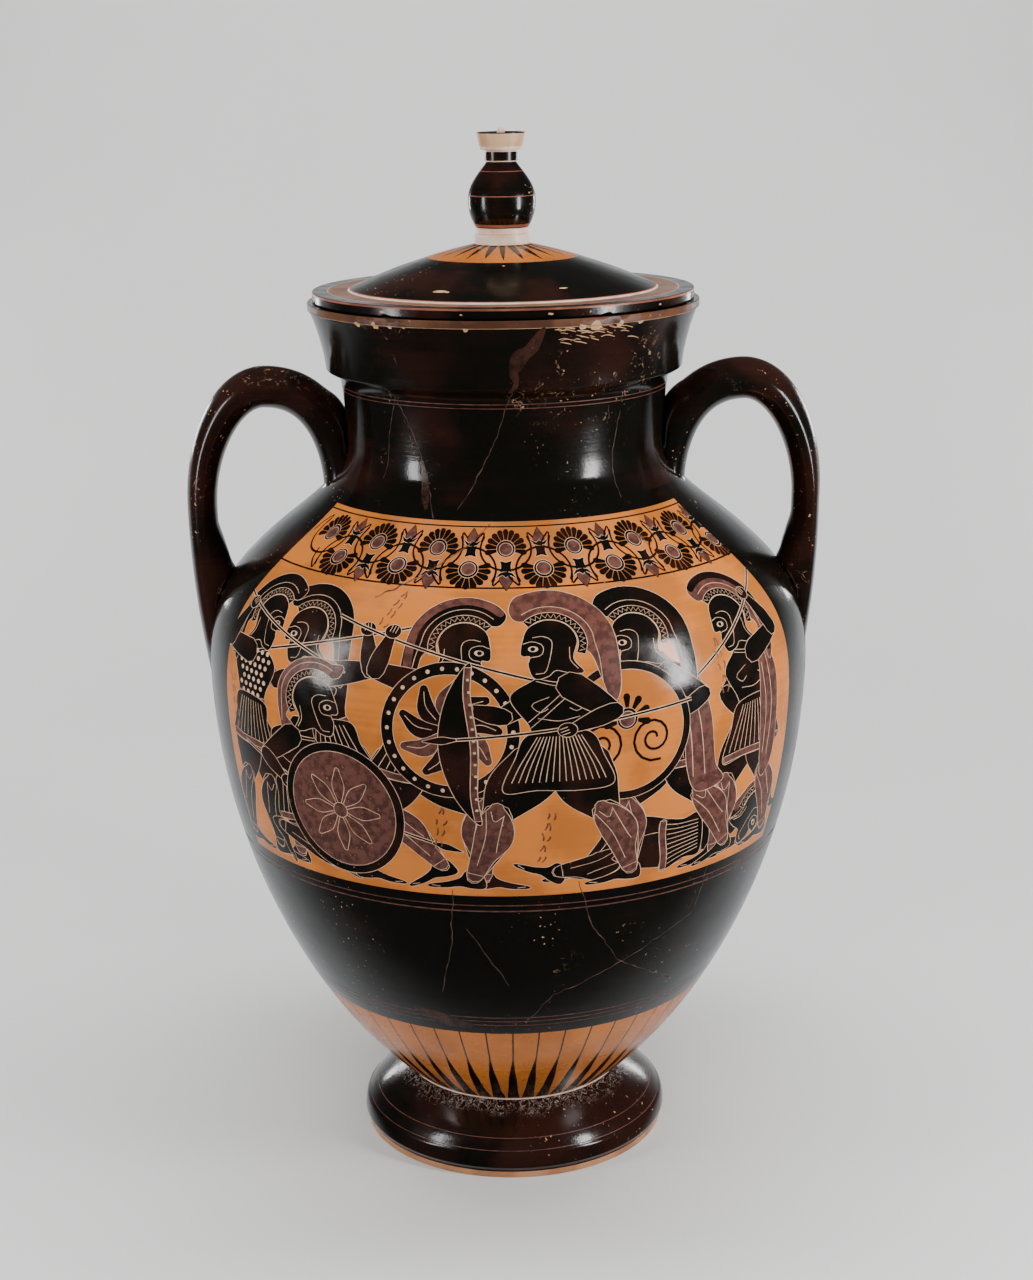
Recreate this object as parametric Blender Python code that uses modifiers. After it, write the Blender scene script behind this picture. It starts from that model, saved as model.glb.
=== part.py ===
"""A lidded neck amphora with two upright handles, thrown in clay: the vessel and its loose lid.

Metres, +Z up. The origin is on the floor, on the axis of the pot, and the handles stand on
the X axis. Every turned outline is a list of (radius, height) points.
"""
import math

import bmesh
import bpy
import numpy as np
from mathutils import Matrix

# Foot: a spreading disc, hollow underneath
FOOT_HEIGHT = 0.0375
FOOT_RADIUS = 0.0925
FOOT_WIDEST_AT = 0.0075
FOOT_BASE_RADIUS = 0.0905
FOOT_BASE_EDGE = 0.0045
FOOT_SHOULDER_RADIUS = 0.0898
FOOT_SHOULDER_AT = 0.016
REST_RING_WIDTH = 0.012
FOOT_HOLLOW_DEPTH = 0.029
STEM_RADIUS = 0.0645

# Body and neck
BELLY_RISE = 0.2565
BELLY_RADIUS = 0.1736
SHOULDER_RISE = 0.1285
NECK_RADIUS = 0.0905
NECK_RISE = 0.0375
NECK_TOP_RADIUS = 0.0932
WALL = 0.006
FLOOR_THICKNESS = 0.009

# Lip: an overhanging collar that flares up to the mouth
LIP_HEIGHT = 0.042
LIP_BASE_RADIUS = 0.101
LIP_OVERHANG_DROP = 0.0045
MOUTH_RADIUS = 0.1105
MOUTH_BAND = 0.0045
MOUTH_BAND_SET_BACK = 0.0008
SEAT_RADIUS = 0.0975
SEAT_DEPTH = 0.014

# Handles: upright straps that spring from the neck and run down on to the belly
HANDLE_SPAN = 0.1755
HANDLE_CREST = 0.1370
HANDLE_CREST_HEIGHT = 0.4540
HANDLE_SPAN_HEIGHT = 0.3850
HANDLE_SPRING_HEIGHT = 0.4000
HANDLE_ROOT_HEIGHT = 0.2620
HANDLE_ROOT_INSET = 0.0126
HANDLE_THICKNESS = 0.0176
HANDLE_CREST_THICKNESS = 0.0226
HANDLE_WIDTH = 0.030

# Lid: flat brim, low cone and a finial shaped like a pomegranate
LID_GAP = 0.0003
LID_RADIUS = 0.1075
LID_EDGE = 0.0057
LID_FLANGE_CLEARANCE = 0.0015
LID_FLANGE_DEPTH = 0.010
LID_WALL = 0.006
CONE_RADIUS = 0.0865
CONE_STEP = 0.0008
CONE_RISE = 0.0236
CONE_BULGE = 0.0026
KNOB_BASE_RADIUS = 0.0154
KNOB_BASE_HEIGHT = 0.0088
BULB_SEAT_RADIUS = 0.0146
BULB_HEIGHT = 0.0360
BULB_RADIUS = 0.0190
BULB_WIDEST_AT = 0.0150
BULB_TOP_RADIUS = 0.0082
COLLAR_RADIUS = 0.0091
COLLAR_HEIGHT = 0.0065
CROWN_HEIGHT = 0.0095
CROWN_BASE_RADIUS = 0.0117
CROWN_RADIUS = 0.0136
CROWN_WALL = 0.0018
CROWN_DEPTH = 0.0055
SPIKE_RADIUS = 0.0028
SPIKE_HEIGHT = 0.0090

# Facets of the turned shapes and steps along each curve
VESSEL_SEGMENTS = 48
LID_SEGMENTS = 40
CUT_MARGIN = 0.010

# Heights that follow from the sizes above
BELLY_AT = FOOT_HEIGHT + BELLY_RISE
WAIST_AT = BELLY_AT + SHOULDER_RISE
LIP_AT = WAIST_AT + NECK_RISE
RIM_AT = LIP_AT + LIP_HEIGHT

SLIP_BLACK = (0.024, 0.014, 0.011)
LID_BLACK = (0.030, 0.016, 0.012)


def clear_scene():
    """Remove whatever the file holds."""
    for thing in list(bpy.data.objects):
        bpy.data.objects.remove(thing, do_unlink=True)


def new_collection(name):
    """A collection linked to the scene."""
    collection = bpy.data.collections.new(name)
    bpy.context.scene.collection.children.link(collection)
    return collection


def fired_clay(name, colour, roughness):
    """A glossy fired surface of one colour."""
    material = bpy.data.materials.new(name)
    material.use_nodes = True
    shader = material.node_tree.nodes["Principled BSDF"]
    shader.inputs["Base Color"].default_value = (*colour, 1.0)
    shader.inputs["Roughness"].default_value = roughness
    shader.inputs["Metallic"].default_value = 0.0
    return material


def arc(start, start_handle, end_handle, end, steps):
    """Points along a Bezier curve, without its first point."""
    t = np.linspace(0.0, 1.0, steps + 1)[1:, None]
    ends = (1 - t) ** 3 * np.array(start) + t ** 3 * np.array(end)
    handles = 3 * (1 - t) ** 2 * t * np.array(start_handle) + 3 * (1 - t) * t ** 2 * np.array(end_handle)
    return [tuple(point) for point in (ends + handles).tolist()]


def shoulder_line(steps):
    """From the waist of the neck out and down to the belly, through one change of curvature."""
    spread = BELLY_RADIUS - NECK_RADIUS
    turn = (NECK_RADIUS + 0.584 * spread, BELLY_AT + 0.576 * SHOULDER_RISE)
    along = np.array((0.8065 * spread, -0.461 * SHOULDER_RISE))
    upper = arc((NECK_RADIUS, WAIST_AT), (NECK_RADIUS, WAIST_AT - 0.162 * SHOULDER_RISE),
                np.array(turn) - 0.299 * along, turn, steps)
    lower = arc(turn, np.array(turn) + 0.344 * along,
                (BELLY_RADIUS, BELLY_AT + 0.300 * SHOULDER_RISE), (BELLY_RADIUS, BELLY_AT), steps)
    return upper + lower


def belly_line(steps):
    """From the widest ring down to the joint with the foot, an even curve."""
    spread = BELLY_RADIUS - STEM_RADIUS
    rise = BELLY_RISE
    return arc((BELLY_RADIUS, BELLY_AT), (BELLY_RADIUS, BELLY_AT - 0.345 * rise),
               (STEM_RADIUS + 0.640 * spread, FOOT_HEIGHT + 0.240 * rise),
               (STEM_RADIUS, FOOT_HEIGHT), steps)


def neck_line(steps):
    """From under the lip down to the waist of the neck."""
    return arc((NECK_TOP_RADIUS, LIP_AT), (NECK_RADIUS + 0.0010, LIP_AT - 0.35 * NECK_RISE),
               (NECK_RADIUS, WAIST_AT + 0.35 * NECK_RISE), (NECK_RADIUS, WAIST_AT), steps)


def lip_line(steps):
    """The collar: a plain band at the mouth, a hollow flare and the overhang above the neck."""
    band = (MOUTH_RADIUS - MOUTH_BAND_SET_BACK, RIM_AT - MOUTH_BAND)
    corner = (LIP_BASE_RADIUS, LIP_AT + LIP_OVERHANG_DROP)
    flare = band[0] - corner[0]
    fall = band[1] - corner[1]
    curve = arc(band, (band[0] - 0.50 * flare, band[1] - 0.33 * fall),
                (corner[0] + 0.12 * flare, corner[1] + 0.33 * fall), corner, steps)
    return [(MOUTH_RADIUS, RIM_AT), band] + curve + [(NECK_TOP_RADIUS, LIP_AT)]


def foot_line(steps):
    """The foot's upper face, its rounded edge and the narrow straight band at the floor."""
    shoulder = (FOOT_SHOULDER_RADIUS, FOOT_SHOULDER_AT)
    widest = (FOOT_RADIUS, FOOT_WIDEST_AT)
    spread = FOOT_SHOULDER_RADIUS - STEM_RADIUS
    drop = FOOT_HEIGHT - FOOT_SHOULDER_AT
    face = arc((STEM_RADIUS, FOOT_HEIGHT), (STEM_RADIUS + 0.30 * spread, FOOT_HEIGHT - 0.22 * drop),
               (FOOT_SHOULDER_RADIUS - 0.16 * spread, FOOT_SHOULDER_AT + 0.30 * drop), shoulder, steps)
    edge = arc(shoulder, (FOOT_SHOULDER_RADIUS + 0.55 * (FOOT_RADIUS - FOOT_SHOULDER_RADIUS), FOOT_SHOULDER_AT),
               (FOOT_RADIUS, FOOT_WIDEST_AT + 0.45 * (FOOT_SHOULDER_AT - FOOT_WIDEST_AT)), widest, steps - 1)
    return face + edge + [(FOOT_BASE_RADIUS, FOOT_BASE_EDGE), (FOOT_BASE_RADIUS, 0.0)]


def foot_hollow_line(steps):
    """Underneath: the resting ring's inner edge, then up and in to the axis."""
    inner = FOOT_BASE_RADIUS - REST_RING_WIDTH
    top = FOOT_HOLLOW_DEPTH
    return [(inner, 0.0)] + arc((inner, 0.0), (inner, 0.45 * top), (0.72 * inner, top), (0.0, top), steps)


def vessel_outline():
    """The whole outside, from the axis at the mouth to the axis under the foot."""
    outside = lip_line(4) + neck_line(3) + shoulder_line(5) + belly_line(9)
    return [(0.0, RIM_AT)] + outside + foot_line(4) + foot_hollow_line(4)


def set_in(points, distance):
    """An outline that runs downwards, moved inwards by a distance along its normals."""
    line = np.array(points)
    along = np.gradient(line, axis=0)
    along /= np.linalg.norm(along, axis=1)[:, None]
    inward = np.stack((along[:, 1], -along[:, 0]), axis=1)
    return [tuple(point) for point in (line + distance * inward).tolist()]


def cavity_outline():
    """The inside, from above the mouth down past the lid's seat to the floor of the pot."""
    seat_base = (SEAT_RADIUS, RIM_AT - SEAT_DEPTH)
    waist = (NECK_RADIUS - WALL, WAIST_AT)
    throat = arc(seat_base, (SEAT_RADIUS - 0.0030, seat_base[1] - 0.010),
                 (waist[0], waist[1] + 0.45 * (seat_base[1] - waist[1])), waist, 5)
    floor_at = FOOT_HOLLOW_DEPTH + FLOOR_THICKNESS
    wall = set_in([(NECK_RADIUS, WAIST_AT)] + shoulder_line(4) + belly_line(6), WALL)[1:]
    wall = [point for point in wall if point[1] > floor_at + WALL]
    last = wall[-1]
    bottom = arc(last, (0.80 * last[0], floor_at), (0.5 * last[0], floor_at), (0.0, floor_at), 3)
    top = RIM_AT + CUT_MARGIN
    return [(0.0, top), (SEAT_RADIUS, top), seat_base] + throat + wall + bottom


def finial_outline():
    """The lid's knob from the tip of its spike down to the foot of its lower moulding."""
    base = RIM_AT + LID_GAP + LID_EDGE + CONE_STEP + CONE_RISE
    seat = base + KNOB_BASE_HEIGHT
    neck = seat + BULB_HEIGHT
    crown = neck + COLLAR_HEIGHT
    rim = crown + CROWN_HEIGHT
    cup_floor = rim - CROWN_DEPTH
    widest = seat + BULB_WIDEST_AT
    spike = [(0.0, cup_floor + SPIKE_HEIGHT), (0.4 * SPIKE_RADIUS, cup_floor + 0.75 * SPIKE_HEIGHT),
             (SPIKE_RADIUS, cup_floor)]
    cup = [(CROWN_RADIUS - 2 * CROWN_WALL, cup_floor), (CROWN_RADIUS - CROWN_WALL, rim), (CROWN_RADIUS, rim),
           (CROWN_BASE_RADIUS, crown)]
    collar = [(COLLAR_RADIUS, crown), (COLLAR_RADIUS, neck)]
    upper = arc((BULB_TOP_RADIUS, neck), (BULB_TOP_RADIUS + 0.40 * (BULB_RADIUS - BULB_TOP_RADIUS), neck - 0.0060),
                (BULB_RADIUS, widest + 0.0090), (BULB_RADIUS, widest), 5)
    lower = arc((BULB_RADIUS, widest), (BULB_RADIUS, widest - 0.0070),
                (BULB_SEAT_RADIUS + 0.0020, seat + 0.0030), (BULB_SEAT_RADIUS, seat), 4)
    waist = seat - 0.5 * KNOB_BASE_HEIGHT
    moulding = [(BULB_SEAT_RADIUS, waist + 0.0006), (KNOB_BASE_RADIUS, waist - 0.0010), (KNOB_BASE_RADIUS, base)]
    return spike + cup + collar + [(BULB_TOP_RADIUS, neck)] + upper + lower + moulding


def cone_arc(radius_in, radius_out, height_in, height_out, steps):
    """A cone's line from inside to outside that swells by CONE_BULGE halfway."""
    reach = radius_out - radius_in
    drop = height_in - height_out
    return arc((radius_in, height_in), (radius_in + 0.33 * reach, height_in - 0.33 * drop + CONE_BULGE),
               (radius_in + 0.67 * reach, height_in - 0.67 * drop + CONE_BULGE), (radius_out, height_out), steps)


def lid_outline():
    """Finial, cone and brim on top; flange and hollow underneath."""
    underside = RIM_AT + LID_GAP
    brim = underside + LID_EDGE
    cone_foot = brim + CONE_STEP
    cone_top = cone_foot + CONE_RISE
    cone = cone_arc(KNOB_BASE_RADIUS, CONE_RADIUS, cone_top, cone_foot, 5)
    edge = [(CONE_RADIUS, brim), (LID_RADIUS - 0.0008, brim), (LID_RADIUS, brim - 0.0008), (LID_RADIUS, underside)]
    flange_out = SEAT_RADIUS - LID_FLANGE_CLEARANCE
    flange_in = flange_out - LID_WALL
    flange = [(flange_out, underside), (flange_out, underside - LID_FLANGE_DEPTH),
              (flange_in, underside - LID_FLANGE_DEPTH)]
    hollow_foot = (CONE_RADIUS - LID_WALL, underside)
    hollow_top = cone_top - LID_WALL
    hollow = cone_arc(0.0, hollow_foot[0], hollow_top, hollow_foot[1], 4)[::-1]
    return finial_outline() + cone + edge + flange + hollow + [(0.0, hollow_top)]


def turned(name, outline, segments, collection):
    """A closed solid of revolution about Z, from an outline that runs down its outer side."""
    mesh = bpy.data.meshes.new(name)
    points = [(radius, 0.0, height) for radius, height in outline]
    mesh.from_pydata(points, [(i, i + 1) for i in range(len(points) - 1)], [])
    solid = bpy.data.objects.new(name, mesh)
    collection.objects.link(solid)
    screw = solid.modifiers.new("turn", "SCREW")
    screw.steps = segments
    screw.render_steps = segments
    screw.use_merge_vertices = True
    screw.merge_threshold = 0.00001
    screw.use_normal_calculate = False
    return solid


def handle_spline(curve, side):
    """One handle's centre line: from inside the neck over the crest and down into the belly's wall."""
    spline = curve.splines.new("BEZIER")
    spline.bezier_points.add(3)
    root_x = BELLY_RADIUS - HANDLE_ROOT_INSET
    rise = HANDLE_CREST_HEIGHT - HANDLE_SPRING_HEIGHT
    fall = HANDLE_CREST_HEIGHT - HANDLE_SPAN_HEIGHT
    run = HANDLE_SPAN_HEIGHT - HANDLE_ROOT_HEIGHT
    reach = HANDLE_SPAN - HANDLE_CREST
    crest = HANDLE_CREST_THICKNESS / HANDLE_THICKNESS
    stations = (
        ((NECK_RADIUS - WALL, HANDLE_SPRING_HEIGHT), (-0.2 * reach, -0.3 * rise), (0.42 * reach, 0.62 * rise),
         crest),
        ((HANDLE_CREST, HANDLE_CREST_HEIGHT), (-0.50 * reach, 0.0), (0.55 * reach, 0.0), crest),
        ((HANDLE_SPAN, HANDLE_SPAN_HEIGHT), (0.0, 0.52 * fall), (0.0, -0.35 * run), 1.0),
        ((root_x, HANDLE_ROOT_HEIGHT), (0.60 * (HANDLE_SPAN - root_x), 0.34 * run), (0.0, -0.1 * run), 1.1),
    )
    for point, (place, before, after, thickness) in zip(spline.bezier_points, stations):
        at = np.array(place)
        point.handle_left_type = "FREE"
        point.handle_right_type = "FREE"
        point.co = (side * at[0], 0.0, at[1])
        point.handle_left = (side * (at[0] + before[0]), 0.0, at[1] + before[1])
        point.handle_right = (side * (at[0] + after[0]), 0.0, at[1] + after[1])
        point.radius = thickness


def handle_pair(collection):
    """Both handles as one mesh: round bars along their centre lines, widened into straps."""
    curve = bpy.data.curves.new("handle_lines", "CURVE")
    curve.dimensions = "3D"
    curve.resolution_u = 6
    curve.bevel_depth = 0.5 * HANDLE_THICKNESS
    curve.bevel_resolution = 4
    curve.use_fill_caps = True
    for side in (-1, 1):
        handle_spline(curve, side)
    bars = bpy.data.objects.new("handle_bars", curve)
    collection.objects.link(bars)
    graph = bpy.context.evaluated_depsgraph_get()
    mesh = bpy.data.meshes.new_from_object(bars.evaluated_get(graph))
    bpy.data.objects.remove(bars, do_unlink=True)
    shell = bmesh.new()
    shell.from_mesh(mesh)
    bmesh.ops.remove_doubles(shell, verts=shell.verts, dist=0.00001)
    bmesh.ops.transform(shell, matrix=Matrix.Scale(HANDLE_WIDTH / HANDLE_THICKNESS, 4, (0, 1, 0)),
                        verts=shell.verts)
    bmesh.ops.recalc_face_normals(shell, faces=shell.faces)
    shell.to_mesh(mesh)
    shell.free()
    handles = bpy.data.objects.new("handles", mesh)
    collection.objects.link(handles)
    return as_tool(handles)


def as_tool(thing):
    """Mark an object as a guide for a Boolean, drawn as wires and left out of renders."""
    thing.hide_render = True
    thing.display_type = "WIRE"
    return thing


def boolean(thing, tool, operation):
    """Join a tool to an object, or cut it out."""
    step = thing.modifiers.new(operation.lower() + "_" + tool.name, "BOOLEAN")
    step.operation = operation
    step.solver = "EXACT"
    step.object = tool


def finish(thing, material):
    """Smooth shading with sharp corners kept, and the piece's own material."""
    thing.data.materials.append(material)
    thing.data.shade_smooth()
    thing.data.set_sharp_from_angle(angle=math.radians(35))


def build_amphora(parts, tools):
    """The vessel: its outer form joined with the handles, then hollowed."""
    amphora = turned("amphora", vessel_outline(), VESSEL_SEGMENTS, parts)
    cavity = as_tool(turned("cavity", cavity_outline(), VESSEL_SEGMENTS, tools))
    boolean(amphora, handle_pair(tools), "UNION")
    boolean(amphora, cavity, "DIFFERENCE")
    finish(amphora, fired_clay("black_slip_on_clay", SLIP_BLACK, 0.22))


def build_lid(parts):
    """The loose lid on its seat."""
    lid = turned("lid", lid_outline(), LID_SEGMENTS, parts)
    finish(lid, fired_clay("lid_slip_on_clay", LID_BLACK, 0.25))


def main():
    clear_scene()
    parts = new_collection("psykter_amphora")
    tools = new_collection("cutters")
    build_amphora(parts, tools)
    build_lid(parts)


main()
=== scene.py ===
"""Looks of the psykter amphora: the painted and glazed skin of the vessel, its handles and its lid.

Sizes are metres in the meshes. The painting is laid out in millimetres on the unrolled outside:
x runs round the pot (at a radius of 170 mm on the body), and depth runs down its outline.
"""
import math

import bpy
import numpy as np
from mathutils import Euler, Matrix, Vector
from mathutils.geometry import delaunay_2d_cdt


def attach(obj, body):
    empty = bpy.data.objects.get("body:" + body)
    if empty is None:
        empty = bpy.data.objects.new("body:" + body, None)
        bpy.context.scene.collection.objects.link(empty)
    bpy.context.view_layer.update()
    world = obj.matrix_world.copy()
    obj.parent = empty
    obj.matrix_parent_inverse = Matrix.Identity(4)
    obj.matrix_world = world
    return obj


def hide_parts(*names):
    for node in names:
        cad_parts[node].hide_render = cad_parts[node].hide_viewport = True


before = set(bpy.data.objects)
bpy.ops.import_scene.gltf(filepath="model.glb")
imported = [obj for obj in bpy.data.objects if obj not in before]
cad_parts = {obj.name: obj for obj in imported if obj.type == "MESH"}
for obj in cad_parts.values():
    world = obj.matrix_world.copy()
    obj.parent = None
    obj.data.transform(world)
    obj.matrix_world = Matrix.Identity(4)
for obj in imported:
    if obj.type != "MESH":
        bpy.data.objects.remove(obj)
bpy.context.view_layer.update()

bl_info = {
    "name": "Psykter amphora looks",
    "version": (1, 0, 0),
    "blender": (4, 5, 0),
    "location": "3D View > Sidebar > Amphora",
    "description": "Painted skin, handles, lid and stage of a black-figure neck amphora",
    "category": "Object",
}

# Vessel outline in metres, the same as the solid's
FOOT_HEIGHT = 0.0375
FOOT_RADIUS = 0.0925
FOOT_WIDEST_AT = 0.0075
FOOT_BASE_RADIUS = 0.0905
FOOT_BASE_EDGE = 0.0045
FOOT_SHOULDER_RADIUS = 0.0898
FOOT_SHOULDER_AT = 0.016
REST_RING_WIDTH = 0.012
FOOT_HOLLOW_DEPTH = 0.029
STEM_RADIUS = 0.0645
BELLY_AT = 0.294
BELLY_RADIUS = 0.1736
SHOULDER_RISE = 0.1285
WAIST_AT = BELLY_AT + SHOULDER_RISE
NECK_RADIUS = 0.0905
NECK_RISE = 0.0375
NECK_TOP_RADIUS = 0.0932
WALL = 0.006
FLOOR_THICKNESS = 0.009
LIP_AT = WAIST_AT + NECK_RISE
LIP_HEIGHT = 0.042
RIM_AT = LIP_AT + LIP_HEIGHT
LIP_BASE_RADIUS = 0.101
LIP_OVERHANG_DROP = 0.0045
MOUTH_RADIUS = 0.1105
MOUTH_BAND = 0.0045
MOUTH_BAND_SET_BACK = 0.0008
SEAT_RADIUS = 0.0975
SEAT_DEPTH = 0.014

# Bends of the vessel's outline, as shares of the sizes that they lie between
TURN_AT = (0.584, 0.576)
TURN_SLOPE = (0.8065, -0.461)
TURN_PULL = (0.299, 0.344)
WAIST_PULL = 0.162
BELLY_PULL = (0.300, 0.345)
STEM_PULL = (0.640, 0.240)
OUTER_STEPS = (22, 22, 72)
INNER_STEPS = (6, 6, 14)

# Handles
HANDLE_SPAN = 0.1755
HANDLE_CREST = 0.1370
HANDLE_CREST_HEIGHT = 0.4540
HANDLE_SPAN_HEIGHT = 0.3850
HANDLE_ROOT_HEIGHT = 0.2620
HANDLE_ROOT_INSET = 0.0126
HANDLE_THICKNESS = 0.0176
HANDLE_CREST_THICKNESS = 0.0226
HANDLE_WIDTH = 0.030

# Lid
LID_GAP = 0.0003
LID_RADIUS = 0.1075
LID_EDGE = 0.0057
LID_FLANGE_CLEARANCE = 0.0015
LID_FLANGE_DEPTH = 0.010
LID_WALL = 0.006
CONE_RADIUS = 0.0865
CONE_STEP = 0.0008
CONE_RISE = 0.0236
CONE_BULGE = 0.0026
KNOB_BASE_RADIUS = 0.0154
KNOB_BASE_HEIGHT = 0.0088
BULB_SEAT_RADIUS = 0.0146
BULB_HEIGHT = 0.0360
BULB_RADIUS = 0.0190
BULB_WIDEST_AT = 0.0150
BULB_TOP_RADIUS = 0.0082
COLLAR_RADIUS = 0.0091
COLLAR_HEIGHT = 0.0065
CROWN_HEIGHT = 0.0095
CROWN_BASE_RADIUS = 0.0117
CROWN_RADIUS = 0.0136
CROWN_WALL = 0.0018
CROWN_DEPTH = 0.0055
SPIKE_RADIUS = 0.0028
SPIKE_HEIGHT = 0.0090

# How each handle differs from the solid's even pair: a rounder arch, a thicker crest, a slimmer right leg
NECK_END = (0.0915, 0.383)
CREST_EXTRA = 0.0018
RIGHT_SPAN_SHIFT = 0.0030
RIGHT_INNER_SHARE = 0.7
ROOT_SWELL = 0.1
INSIDE_BOX = 0.9999

# The centre line's curve handles, as shares of its rise, reach, fall and run
SPRING_PULL = 0.62
CREST_PULL = (0.78, 0.55)
SPAN_PULL = (0.52, 0.35)
ROOT_PULL = (0.60, 0.34)

# Webs: the near and far gap between which clay is drawn to the wall, and how squarely a side faces it
NECK_WEB = (0.002, 0.010)
BELLY_WEB = (0.0095, 0.024)
WEB_FACING = 0.5
WALL_STEP = 0.0006

# How far from each end the clay is kept inside the wall
NECK_REACH = 0.045
TAIL_REACH = 0.06

# The flare at the neck: how much, how far it holds and how fast it fades; the ridge: how much, how wide
END_FLARE = (0.16, 0.008, 0.006)
RIDGE = (0.07, 0.34)
HANDLE_STEPS = (40, 40, 50)
HANDLE_SIDES = 56

# The camera, in metres and degrees
CAMERA_AT = (0.005, -1.222, 0.6345)
CAMERA_PITCH = 15.24
CAMERA_ROLL = -0.75
SENSOR = 36.0

# Area lights: name, place, aim, size, the setting that holds the power, and whether the slip mirrors it
JAR_MIDDLE = (0.0, 0.0, 0.28)
LIGHTS = (
    ("left_light", (-0.68, -0.32, 0.50), JAR_MIDDLE, (0.11, 0.40), "left_power", True),
    ("right_light", (0.66, -0.38, 0.50), JAR_MIDDLE, (0.12, 0.40), "right_power", True),
    ("left_rim", (-1.03, 1.45, 0.44), JAR_MIDDLE, (0.16, 0.34), "rim_power", True),
    ("right_rim", (1.03, 1.45, 0.44), JAR_MIDDLE, (0.16, 0.34), "rim_power", True),
    ("front_fill", (0.0, -1.9, 1.5), JAR_MIDDLE, (1.8, 1.2), "front_power", False),
    ("backdrop_light", (0.0, 0.1, 2.1), (0.0, 1.5, 0.2), (3.0, 0.8), "back_power", False),
)
ROOM_DIRECTION = (0.0, 1.0, -0.8)
ROOM_FADE = (0.50, 1.08)
ROOM_COLOUR = (0.96, 0.98, 1.0, 1.0)

# The floor's run across the jar's depth, its bend and its top, in metres
FLOOR_FRONT = -3.0
FLOOR_BACK = 1.0
FLOOR_BEND = 0.7
BACKDROP_TOP = 1.5
FLOOR_HALF = 2.6

# Where the skins' seams stand, in degrees from the front
SEAM_AT = -90.0

# The unrolled painting, in millimetres; the panel's half width comes with how far its sides swell
PAINT_RADIUS = 170.0
PANEL_TOP = 69.5
PANEL_FOOT = 287.5
PANEL_HALF = (184.0, 6.0)
GROUND_DEPTH = 284.0
FRAME_WIDTH = 44.0
CHAIN_DEPTH = 93.2
CHAIN_PITCH = 51.7
CHAIN_HEIGHT = 38.6
CHAIN_UNITS = 7
RAYS_FROM = 395.0
FOOT_BAND_WIDTH = 4.8
CONE_CLAY = 27.8

# Painted lines: depth and width in millimetres, or height in metres and width in millimetres
PANEL_LINES = ((72.8, 0.9), (113.4, 1.1))
LOWER_RINGS = ((293.8, 0.7), (297.6, 0.9), (380.0, 0.7), (383.4, 0.7), (387.0, 0.6))
NECK_RINGS = ((0.4557, 0.55), (0.4535, 0.45))
FOOT_RINGS = ((0.0222, 0.5), (0.0166, 0.5))
BULB_RINGS = ((0.5722, 0.55), (0.5590, 0.65))
LID_PAINT_RADIUS = 60.0

# Widths of the painter's lines, in millimetres
SCRATCH = 0.31
FINGER = 0.34
FOLD = 0.36
CLOAK_FOLD = 0.4
TRIM = 3.4
SPEAR_SHAFT = 1.0
SPEAR_EDGE = 1.9

# Counts, and the spread of a palmette in degrees
RAY_COUNT = 50
TONGUE_COUNT = 22
CURVE_STEPS = 14
PETALS = 8
FAN_SPREAD = 206.0
SCRATCH_MARKS = 34
CHIP_CORNERS = 11

# How far a break line wanders, in millimetres
CRACK_WANDER = 0.36

# Finishes: the scales of the clouds, per metre, and how the wheel's streaks are squeezed in height
SLIP_IOR = 1.42
WHEEL_SQUEEZE = (5.0, 5.0, 240.0)
WAVE_SCALE = 34.0
FLAKE_SCALE = 520.0
SCRATCH_SCALE = 120.0
CRACKLE_SCALE = 280.0


# Lines and outlines, in millimetres on the unrolled skin

def arc(start, start_handle, end_handle, end, steps):
    """Bezier curve: the cubic blend of two ends and two handles at even parameters, first point left out."""
    t = np.linspace(0.0, 1.0, steps + 1)[1:, None]
    ends = (1 - t) ** 3 * np.array(start) + t ** 3 * np.array(end)
    handles = 3 * (1 - t) ** 2 * t * np.array(start_handle) + 3 * (1 - t) * t ** 2 * np.array(end_handle)
    return ends + handles


def through(points, closed=False, step=1.6):
    """Smooth line through points: Catmull-Rom cubics, resampled at even lengths of two columns."""
    p = np.array(points, dtype=float)
    if closed:
        p = np.vstack((p[-1:], p, p[:2]))
    else:
        p = np.vstack((2 * p[0] - p[1], p, 2 * p[-1] - p[-2]))
    a, b, c, d = p[:-3, None], p[1:-2, None], p[2:-1, None], p[3:, None]
    t = np.linspace(0.0, 1.0, CURVE_STEPS, endpoint=False)[None, :, None]
    squared = (2 * a - 5 * b + 4 * c - d) * t ** 2
    fine = 0.5 * (2 * b + (c - a) * t + squared + (3 * b - a - 3 * c + d) * t ** 3)
    fine = np.vstack((fine.reshape(-1, p.shape[1]), p[-2:-1]))
    return resampled(fine, closed, step)


def resampled(line, closed, step):
    """A polyline resampled at even lengths near the step; a closed one has its end joined to its start."""
    length = np.concatenate(([0.0], np.cumsum(np.hypot(*np.diff(line[:, :2], axis=0).T))))
    count = max(4, int(round(length[-1] / step)))
    at = np.linspace(0.0, length[-1], count + (not closed), endpoint=not closed)
    return np.stack([np.interp(at, length, column) for column in line.T], axis=1)


def even(start, end, step):
    """Points at even lengths near the step on a straight line."""
    return resampled(np.array((start, end)), False, step)


def across(line):
    """Unit normals of a line, a quarter turn to the left of its direction."""
    along = np.gradient(line[:, :2], axis=0)
    along /= np.maximum(np.linalg.norm(along, axis=1), 1e-9)[:, None]
    return np.stack((-along[:, 1], along[:, 0]), axis=1)


def swollen(outline, distance):
    """A closed outline moved outwards by a distance along the mean of its sides' normals."""
    ahead = np.roll(outline, -1, axis=0) - np.roll(outline, 1, axis=0)
    ahead /= np.maximum(np.linalg.norm(ahead, axis=1), 1e-9)[:, None]
    turn = np.sign(area(outline)) * distance
    return outline + turn * np.stack((ahead[:, 1], -ahead[:, 0]), axis=1)


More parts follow.
